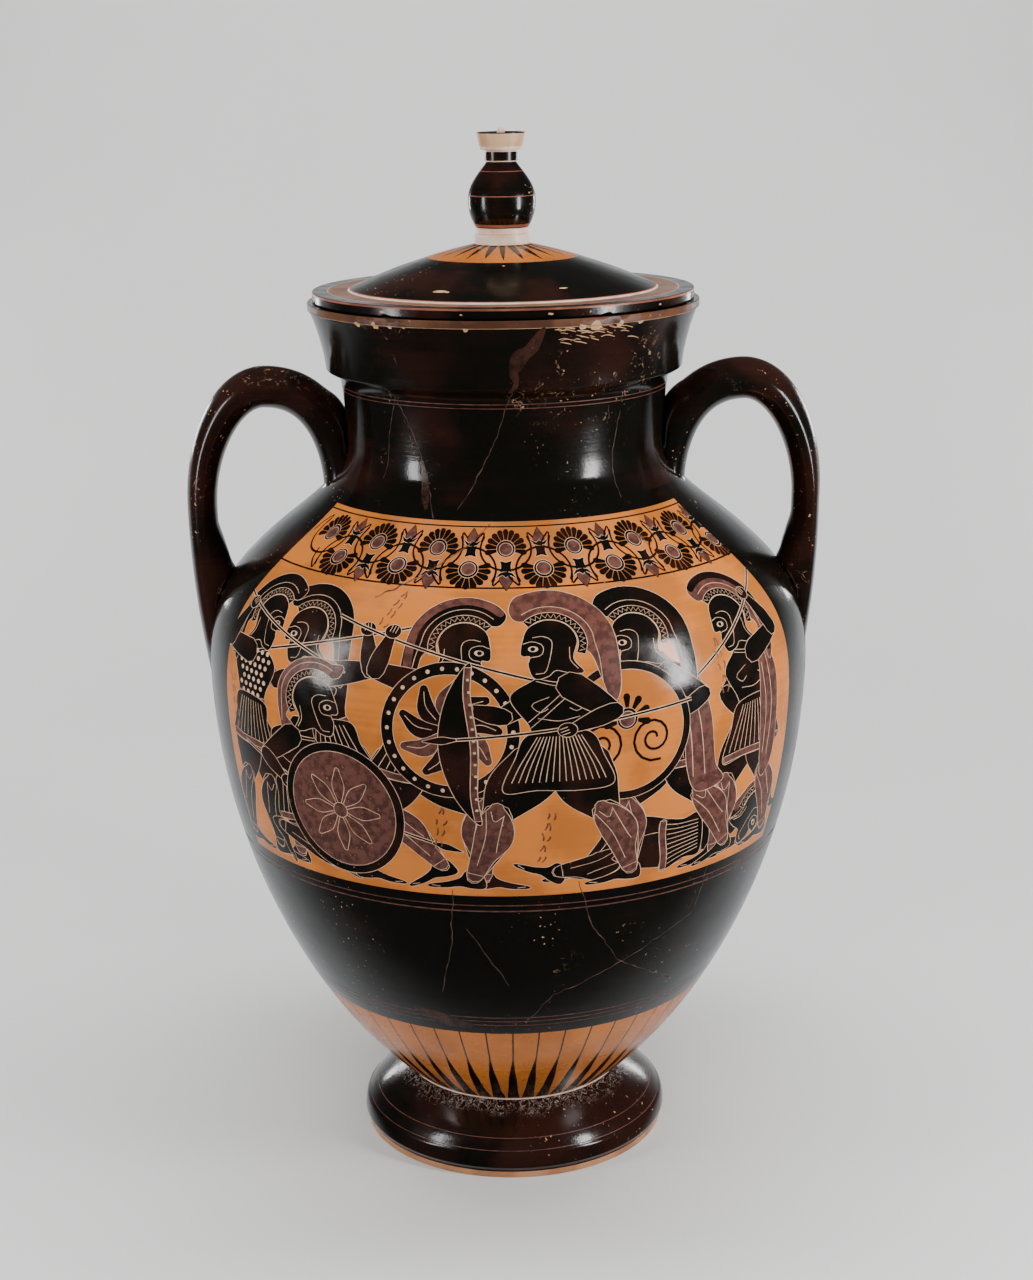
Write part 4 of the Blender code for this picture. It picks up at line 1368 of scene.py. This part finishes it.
def node(tree, kind, inputs=None, **settings):
    """A shader node with its settings, its inputs given as values or as another node's output."""
    made = tree.nodes.new(kind)
    for key, value in settings.items():
        setattr(made, key, value)
    for key, value in (inputs or {}).items():
        if isinstance(value, bpy.types.NodeSocket):
            tree.links.new(value, made.inputs[key])
        else:
            made.inputs[key].default_value = value
    return made


def noise(tree, where, scale, detail=3.0, distortion=0.0):
    """Cloud noise at a scale per metre."""
    inputs = {"Vector": where, "Scale": scale, "Detail": detail, "Distortion": distortion}
    return node(tree, "ShaderNodeTexNoise", inputs, normalize=True).outputs["Fac"]


def ramp(tree, value, low, high, start=0.0, end=1.0):
    """A value carried from one range smoothly on to another, held at both ends."""
    inputs = {"Value": value, "From Min": low, "From Max": high, "To Min": start, "To Max": end}
    return node(tree, "ShaderNodeMapRange", inputs, interpolation_type="SMOOTHSTEP").outputs["Result"]


def sums(tree, operation, a, b):
    """Arithmetic on two values."""
    return node(tree, "ShaderNodeMath", {0: a, 1: b}, operation=operation).outputs["Value"]


def blended(tree, share, a, b):
    """One colour laid over another by a share."""
    mix = node(tree, "ShaderNodeMix", data_type="RGBA")
    ends = {"Factor": share, "A": a, "B": b}
    sockets = {"Factor": mix.inputs[0], "A": mix.inputs[6], "B": mix.inputs[7]}
    for key, value in ends.items():
        if isinstance(value, bpy.types.NodeSocket):
            tree.links.new(value, sockets[key])
        else:
            sockets[key].default_value = value if key == "Factor" else (*value, 1.0)
    return mix.outputs[2]


def fired_finish(name, main, other, patch=20.0, streak=0.35, patches=(0.36, 0.66), specks=None,
                 scratches=None, rough=(0.2, 0.3), bump=0.10, grain=700.0, lean=0.0, crackle=None):
    """A fired surface: patches and streaks between two colours, flakes, scratches, uneven gloss and pits.

    Every pattern is a function of the point on the piece: clouds for patches, clouds squeezed in
    height for the wheel's streaks, the peaks of fine clouds for flakes, and the level lines of clouds
    for scratches and for the crackle.
    """
    material = bpy.data.materials.new(name)
    material.use_nodes = True
    tree = material.node_tree
    shader = tree.nodes["Principled BSDF"]
    where = node(tree, "ShaderNodeTexCoord").outputs["Object"]
    apart = node(tree, "ShaderNodeSeparateXYZ", {"Vector": where})
    squeeze = {"Vector": where, "Scale": WHEEL_SQUEEZE}

    def plus(a, b):
        """The sum of two values."""
        return sums(tree, "ADD", a, b)

    def times(a, b):
        """The product of two values."""
        return sums(tree, "MULTIPLY", a, b)

    def level_line(scale, detail, warp):
        """How far a point is from the middle level of warped clouds, which is 0 on a line."""
        middle = sums(tree, "SUBTRACT", noise(tree, where, scale, detail, warp), 0.5)
        return sums(tree, "ABSOLUTE", middle, 0.0)

    streaks = noise(tree, node(tree, "ShaderNodeMapping", squeeze).outputs["Vector"], 2.2, 3.0)
    swing = times(sums(tree, "SUBTRACT", streaks, 0.5), 2.0 * streak)
    share = plus(ramp(tree, noise(tree, where, patch, 4.0), *patches), swing)
    colour = blended(tree, ramp(tree, share, 0.0, 1.0), main, other)
    gloss = ramp(tree, noise(tree, where, 3.0 * patch, 4.0), 0.3, 0.7, *rough)
    waves = times(noise(tree, where, WAVE_SCALE, 2.0), 3.0)
    relief = plus(plus(waves, times(noise(tree, where, grain, 2.0), 0.5)), times(streaks, 0.5))
    marks = []
    drift = times(apart.outputs["X"], lean)
    if specks:
        tint, amount, spread = specks
        wide = plus(noise(tree, where, 16.0, 3.0), drift)
        dots = ramp(tree, noise(tree, where, FLAKE_SCALE, 2.0), 0.70 - amount, 0.735 - amount)
        marks.append((times(dots, ramp(tree, wide, spread, spread + 0.10)), tint))
    if scratches:
        tint, width, spread = scratches
        wide = plus(noise(tree, where, 21.0, 3.0), drift)
        gate = ramp(tree, noise(tree, where, 190.0, 2.0), 0.52, 0.60)
        lines = times(ramp(tree, level_line(SCRATCH_SCALE, 3.0, 1.6), width, 0.4 * width), gate)
        marks.append((times(lines, ramp(tree, wide, spread, spread + 0.10)), tint))
    if crackle:
        tint, low, high = crackle
        ragged = plus(apart.outputs["Z"], times(noise(tree, where, 90.0, 3.0), 0.010))
        lines = ramp(tree, level_line(CRACKLE_SCALE, 4.0, 1.2), 0.019, 0.007)
        marks.append((times(lines, ramp(tree, ragged, low, high)), tint))
    for share, tint in marks:
        colour = blended(tree, share, colour, tint)
        gloss = plus(gloss, times(share, 0.35))
        relief = sums(tree, "SUBTRACT", relief, times(share, 0.8))
    tree.links.new(colour, shader.inputs["Base Color"])
    tree.links.new(gloss, shader.inputs["Roughness"])
    raised = node(tree, "ShaderNodeBump", {"Strength": bump, "Distance": 0.001, "Height": relief})
    tree.links.new(raised.outputs["Normal"], shader.inputs["Normal"])
    shader.inputs["IOR"].default_value = SLIP_IOR
    return material


def finishes(names, colours, prefix):
    """The finishes of a skin's paints, in their order, from the colours that the user may change."""
    black, umber = tuple(colours.black), tuple(colours.umber)
    clay, red, light = tuple(colours.clay), tuple(colours.red), tuple(colours.light)
    pale, warm_clay = (0.62, 0.40, 0.22), tuple(0.72 * c for c in clay)
    flakes, soot = (0.50, 0.30, 0.16), (0.20, 0.08, 0.03)
    recipes = {
        "black": dict(main=black, other=umber, patch=15.0, patches=(0.54, 0.84), specks=(flakes, 0.0, 0.53),
                      scratches=(flakes, 0.007, 0.60), rough=(0.10, 0.20), bump=0.07),
        "lid_black": dict(main=black, other=umber, patch=26.0, patches=(0.40, 0.72),
                          specks=(flakes, 0.01, 0.50), rough=(0.12, 0.24), bump=0.07),
        "handle_black": dict(main=black, other=umber, patch=18.0, specks=(flakes, 0.01, 0.50),
                             scratches=(flakes, 0.010, 0.55), rough=(0.12, 0.24), bump=0.08),
        "figure": dict(main=black, other=umber, patch=34.0, patches=(0.40, 0.74), streak=0.1,
                       specks=(flakes, -0.02, 0.54), rough=(0.12, 0.24), bump=0.05),
        # The clay darkened: painted shade on the body's ray zone, where it turns under; the lid's clay ring
        # takes the same darker colour.
        "ray_clay": dict(main=tuple(0.76 * c for c in clay), other=tuple(0.62 * c for c in clay), patch=26.0,
                         streak=0.5, specks=(soot, -0.02, 0.56), rough=(0.24, 0.36), bump=0.05),
        "neck_black": dict(main=black, other=umber, patch=15.0, patches=(0.43, 0.75),
                           specks=(flakes, 0.0, 0.55), lean=0.6, scratches=(flakes, 0.010, 0.58),
                           rough=(0.10, 0.20), bump=0.07),
        "foot_black": dict(main=black, other=umber, patch=18.0, patches=(0.30, 0.60),
                           specks=(flakes, -0.005, 0.53), rough=(0.11, 0.22), bump=0.09,
                           crackle=((0.52, 0.40, 0.34), 0.0350, 0.0425)),
        "clay": dict(main=clay, other=warm_clay, patch=26.0, streak=0.5, specks=(soot, -0.02, 0.56),
                     rough=(0.15, 0.25), bump=0.05),
        "purple": dict(main=red, other=tuple(0.5 * c for c in red), patch=260.0, streak=0.1,
                       specks=((0.26, 0.12, 0.075), 0.02, 0.44), rough=(0.34, 0.50), bump=0.12),
        "line": dict(main=light, other=tuple(0.7 * c for c in light), patch=160.0, rough=(0.4, 0.55),
                     bump=0.08),
        "cream": dict(main=(0.86, 0.66, 0.54), other=(0.74, 0.50, 0.37), patch=90.0, rough=(0.35, 0.5),
                      bump=0.08),
        "crown": dict(main=(0.72, 0.45, 0.26), other=(0.60, 0.33, 0.17), patch=70.0, rough=(0.35, 0.5),
                      bump=0.08, specks=((0.10, 0.05, 0.03), 0.0, 0.5)),
        "pale": dict(main=(0.50, 0.31, 0.21), other=(0.36, 0.20, 0.13), patch=60.0, rough=(0.32, 0.45),
                     bump=0.08),
        "brown": dict(main=(0.20, 0.095, 0.050), other=(0.13, 0.055, 0.033), patch=24.0, rough=(0.30, 0.42),
                      bump=0.08),
        "rust": dict(main=(0.30, 0.10, 0.055), other=(0.16, 0.05, 0.03), patch=60.0, rough=(0.3, 0.42),
                     bump=0.08),
        "red_line": dict(main=(0.26, 0.072, 0.055), other=(0.14, 0.04, 0.03), patch=120.0, rough=(0.35, 0.5),
                         bump=0.05),
        "crack": dict(main=(0.036, 0.016, 0.012), other=(0.105, 0.052, 0.036), patch=200.0, rough=(0.5, 0.7),
                      bump=0.3),
        "crack_clay": dict(main=(0.06, 0.022, 0.012), other=(0.16, 0.06, 0.03), patch=160.0,
                           rough=(0.5, 0.7), bump=0.3),
        "mend": dict(main=(0.046, 0.016, 0.010), other=(0.016, 0.007, 0.005), patch=110.0, streak=0.3,
                     rough=(0.20, 0.36), specks=(flakes, 0.0, 0.52), bump=0.12),
        "scrawl": dict(main=(0.10, 0.031, 0.014), other=(0.20, 0.07, 0.03), patch=260.0, rough=(0.35, 0.5),
                       bump=0.05),
        "bare": dict(main=pale, other=(0.46, 0.26, 0.13), patch=150.0, rough=(0.6, 0.8), bump=0.35,
                     grain=1200.0),
        "bare_band": dict(main=(0.115, 0.043, 0.017), other=(0.062, 0.024, 0.012), patch=60.0,
                          rough=(0.36, 0.5), bump=0.10, specks=((0.50, 0.30, 0.17), 0.0, 0.48)),
        "foot_band": dict(main=(0.52, 0.25, 0.12), other=(0.38, 0.17, 0.08), patch=60.0, rough=(0.36, 0.5),
                          bump=0.10, specks=((0.62, 0.42, 0.27), 0.0, 0.48)),
        "inside": dict(main=(0.34, 0.15, 0.075), other=(0.24, 0.10, 0.05), patch=24.0, rough=(0.55, 0.7),
                       bump=0.2),
    }
    return [fired_finish(prefix + "_" + name, **recipes[name]) for name in names]


VESSEL_PAINTS = ("black", "figure", "neck_black", "foot_black", "clay", "ray_clay", "cream", "purple",
                 "line", "crack", "crack_clay", "mend", "scrawl", "bare", "bare_band", "foot_band", "inside")
LID_PAINTS = ("lid_black", "ray_clay", "cream", "crown", "pale", "brown", "rust", "red_line", "bare")


# Pieces, settings and operators

def shown(name, mesh, materials, node_name):
    """Put a mesh in the scene as a piece that rides on the pot and stands for a solid."""
    for material in materials:
        mesh.materials.append(material)
    piece = bpy.data.objects.new(name, mesh)
    bpy.context.scene.collection.objects.link(piece)
    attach(piece, "root")
    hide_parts(node_name)
    return piece


class AmphoraColours(bpy.types.PropertyGroup):
    """Colours of the slips and the clay."""

    black: bpy.props.FloatVectorProperty(name="Black slip", description="Glossy slip where it fired black",
                                         subtype="COLOR", default=(0.0042, 0.0036, 0.0024), min=0.0, max=1.0)
    umber: bpy.props.FloatVectorProperty(name="Brown slip", description="The slip where it fired brown",
                                         subtype="COLOR", default=(0.022, 0.0072, 0.0048), min=0.0, max=1.0)
    clay: bpy.props.FloatVectorProperty(name="Clay", description="The reserved clay ground",
                                        subtype="COLOR", default=(0.60, 0.182, 0.030), min=0.0, max=1.0)
    red: bpy.props.FloatVectorProperty(name="Added red", description="Purple-red paint over the slip",
                                       subtype="COLOR", default=(0.125, 0.043, 0.031), min=0.0, max=1.0)
    light: bpy.props.FloatVectorProperty(name="Scratched line", description="Lines scratched to the clay",
                                         subtype="COLOR", default=(0.66, 0.42, 0.27), min=0.0, max=1.0)


class AmphoraSizes(bpy.types.PropertyGroup):
    """How finely the turned forms are divided."""

    columns: bpy.props.IntProperty(name="Columns", description="Divisions of the vessel round its axis",
                                   default=96, min=24, max=192)
    lid_columns: bpy.props.IntProperty(name="Lid columns", description="Divisions of the lid round its axis",
                                       default=88, min=24, max=192)


class AmphoraStage(bpy.types.PropertyGroup):
    """The plain floor and the studio light."""

    floor: bpy.props.FloatVectorProperty(name="Floor", description="Colour of the floor and the backdrop",
                                         subtype="COLOR", default=(0.76, 0.76, 0.755), min=0.0, max=1.0)
    left_power: bpy.props.FloatProperty(name="Left light", description="Power of the soft light on the left",
                                        default=2.4, min=0.0, unit="POWER")
    right_power: bpy.props.FloatProperty(name="Right light", description="Power of the soft right light",
                                         default=5.2, min=0.0, unit="POWER")
    rim_power: bpy.props.FloatProperty(name="Rim lights", description="Power of each light behind the jar",
                                       default=2.6, min=0.0, unit="POWER")
    front_power: bpy.props.FloatProperty(name="Front fill", description="Power of the wide light in front",
                                         default=26.0, min=0.0, unit="POWER")
    back_power: bpy.props.FloatProperty(name="Backdrop light", description="Power of the backdrop's light",
                                        default=66.0, min=0.0, unit="POWER")
    room: bpy.props.FloatProperty(name="Room", description="Brightness of the room in front of the jar",
                                  default=0.05, min=0.0, max=2.0)
    surround: bpy.props.FloatProperty(name="Surround", description="Brightness that the slip mirrors behind",
                                      default=0.80, min=0.0, max=2.0)
    lens: bpy.props.FloatProperty(name="Lens", description="Focal length for the sensor's long side",
                                  default=60.47, min=10.0, max=300.0, subtype="DISTANCE_CAMERA")


class AMPHORA_OT_vessel(bpy.types.Operator):
    """Turn the vessel and paint its skin with bands, panels, rays and breaks"""

    bl_idname = "amphora.vessel"
    bl_label = "Vessel"

    def execute(self, context):
        sizes = context.scene.amphora_sizes
        profile, mark = vessel_profile()
        skin = Skin(profile, mark, PAINT_RADIUS, sizes.columns)
        paint_vessel(skin)
        mesh = skin.mesh("painted_vessel", "black", VESSEL_PAINTS)
        shown("painted_vessel", mesh, finishes(VESSEL_PAINTS, context.scene.amphora_colours, "vessel"),
              "amphora")
        return {"FINISHED"}


class AMPHORA_OT_handles(bpy.types.Operator):
    """Carry both ridged strap handles from the neck down to the belly"""

    bl_idname = "amphora.handles"
    bl_label = "Handles"

    def execute(self, context):
        sizes = context.scene.amphora_sizes
        profile, mark = vessel_profile()
        skin = Skin(profile, mark, PAINT_RADIUS, sizes.columns)
        grids = [(handle_surface(side, skin), side > 0) for side in (-1, 1)]
        mesh = tube_mesh("handles", grids)
        shown("strap_handles", mesh, finishes(("handle_black",), context.scene.amphora_colours, "handle"),
              "amphora")
        return {"FINISHED"}


class AMPHORA_OT_lid(bpy.types.Operator):
    """Turn the lid with its pomegranate knob and paint its rings and tongues"""

    bl_idname = "amphora.lid"
    bl_label = "Lid"

    def execute(self, context):
        profile, mark = lid_profile()
        skin = Skin(profile, mark, LID_PAINT_RADIUS, context.scene.amphora_sizes.lid_columns)
        paint_lid(skin)
        mesh = skin.mesh("painted_lid", "lid_black", LID_PAINTS)
        shown("painted_lid", mesh, finishes(LID_PAINTS, context.scene.amphora_colours, "lid"), "lid")
        return {"FINISHED"}


class AMPHORA_OT_stage(bpy.types.Operator):
    """Set the camera, the pale floor with its curved backdrop, and the soft lights"""

    bl_idname = "amphora.stage"
    bl_label = "Stage"

    def execute(self, context):
        stage = context.scene.amphora_stage
        camera = bpy.data.cameras.new("view")
        camera.lens = stage.lens
        camera.sensor_width = SENSOR
        camera.sensor_fit = "AUTO"
        camera.clip_start = 0.05
        viewer = bpy.data.objects.new("view", camera)
        tilt = Euler((math.radians(90.0 - CAMERA_PITCH), 0.0, 0.0)).to_matrix()
        roll = Euler((0.0, 0.0, math.radians(CAMERA_ROLL))).to_matrix()
        viewer.matrix_world = (tilt @ roll).to_4x4()
        viewer.location = CAMERA_AT
        context.scene.collection.objects.link(viewer)
        context.scene.camera = viewer
        floor_sheet(context.scene, tuple(stage.floor))
        for name, at, aim, size, power, mirrored in LIGHTS:
            soft_light(context.scene, name, at, aim, size, getattr(stage, power), mirrored)
        world = bpy.data.worlds.new("studio")
        context.scene.world = world
        world.use_nodes = True
        tree = world.node_tree
        toward = node(tree, "ShaderNodeTexCoord").outputs["Generated"]
        behind = node(tree, "ShaderNodeVectorMath", {0: toward, 1: ROOM_DIRECTION},
                      operation="DOT_PRODUCT").outputs["Value"]
        tree.nodes["Background"].inputs["Color"].default_value = ROOM_COLOUR
        tree.links.new(ramp(tree, behind, *ROOM_FADE, stage.room, stage.surround),
                       tree.nodes["Background"].inputs["Strength"])
        return {"FINISHED"}


def soft_light(scene, name, at, aim, size, power, mirrored=True):
    """A rectangular area light that faces a point, and shows in glossy surfaces or not."""
    light = bpy.data.lights.new(name, "AREA")
    light.shape = "RECTANGLE"
    light.size, light.size_y = size
    light.energy = power
    lamp = bpy.data.objects.new(name, light)
    toward = Vector(aim) - Vector(at)
    lamp.matrix_world = toward.to_track_quat("-Z", "Y").to_matrix().to_4x4()
    lamp.location = at
    lamp.visible_glossy = mirrored
    scene.collection.objects.link(lamp)


def floor_sheet(scene, colour):
    """A floor that bends up into a backdrop: a flat run, a quarter circle and an upright."""
    turn = np.linspace(0.0, 0.5 * math.pi, 24)
    y = np.concatenate(([FLOOR_FRONT, FLOOR_BACK - 0.1], FLOOR_BACK + FLOOR_BEND * np.sin(turn),
                        [FLOOR_BACK + FLOOR_BEND]))
    z = np.concatenate(([0.0, 0.0], FLOOR_BEND - FLOOR_BEND * np.cos(turn), [BACKDROP_TOP]))
    x = np.linspace(-FLOOR_HALF, FLOOR_HALF, 9)
    grid = np.stack(np.broadcast_arrays(x[None, :], y[:, None], z[:, None]), axis=-1)
    index = np.arange(len(y) * len(x)).reshape(len(y), len(x))
    quads = np.stack((index[:-1, :-1], index[:-1, 1:], index[1:, 1:], index[1:, :-1]), axis=-1)
    mesh = bpy.data.meshes.new("floor")
    mesh.from_pydata(grid.reshape(-1, 3).tolist(), [], quads.reshape(-1, 4).tolist())
    mesh.shade_smooth()
    shade = tuple(0.985 * c for c in colour)
    material = fired_finish("floor_paper", colour, shade, patch=3.0, streak=0.0, rough=(0.75, 0.85),
                            bump=0.02)
    mesh.materials.append(material)
    floor = bpy.data.objects.new("floor", mesh)
    floor.visible_glossy = False
    scene.collection.objects.link(floor)


class AMPHORA_PT_panel(bpy.types.Panel):
    """Colours, sizes and one button for each piece."""

    bl_idname = "AMPHORA_PT_panel"
    bl_label = "Psykter amphora"
    bl_space_type = "VIEW_3D"
    bl_region_type = "UI"
    bl_category = "Amphora"

    def draw(self, context):
        column = self.layout.column()
        scene = context.scene
        for group, names in ((scene.amphora_colours, ("black", "umber", "clay", "red", "light")),
                             (scene.amphora_sizes, ("columns", "lid_columns")),
                             (scene.amphora_stage, ("floor", "left_power", "right_power", "rim_power",
                                                    "front_power", "back_power", "room", "surround",
                                                    "lens"))):
            for name in names:
                column.prop(group, name)
        for operator in ("amphora.stage", "amphora.vessel", "amphora.handles", "amphora.lid"):
            column.operator(operator)


CLASSES = (AmphoraColours, AmphoraSizes, AmphoraStage, AMPHORA_OT_stage, AMPHORA_OT_vessel,
           AMPHORA_OT_handles, AMPHORA_OT_lid, AMPHORA_PT_panel)


def register():
    """Register the classes and hang their settings on the scene."""
    for each in CLASSES:
        bpy.utils.register_class(each)
    bpy.types.Scene.amphora_colours = bpy.props.PointerProperty(type=AmphoraColours)
    bpy.types.Scene.amphora_sizes = bpy.props.PointerProperty(type=AmphoraSizes)
    bpy.types.Scene.amphora_stage = bpy.props.PointerProperty(type=AmphoraStage)


def unregister():
    """Take the settings off the scene and unregister the classes, last first."""
    del bpy.types.Scene.amphora_stage
    del bpy.types.Scene.amphora_sizes
    del bpy.types.Scene.amphora_colours
    for each in reversed(CLASSES):
        bpy.utils.unregister_class(each)


def main():
    """Build the stage and the pieces in order."""
    register()
    bpy.ops.amphora.stage()
    bpy.ops.amphora.vessel()
    bpy.ops.amphora.handles()
    bpy.ops.amphora.lid()
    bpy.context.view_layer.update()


if __name__ == "__main__":
    main()
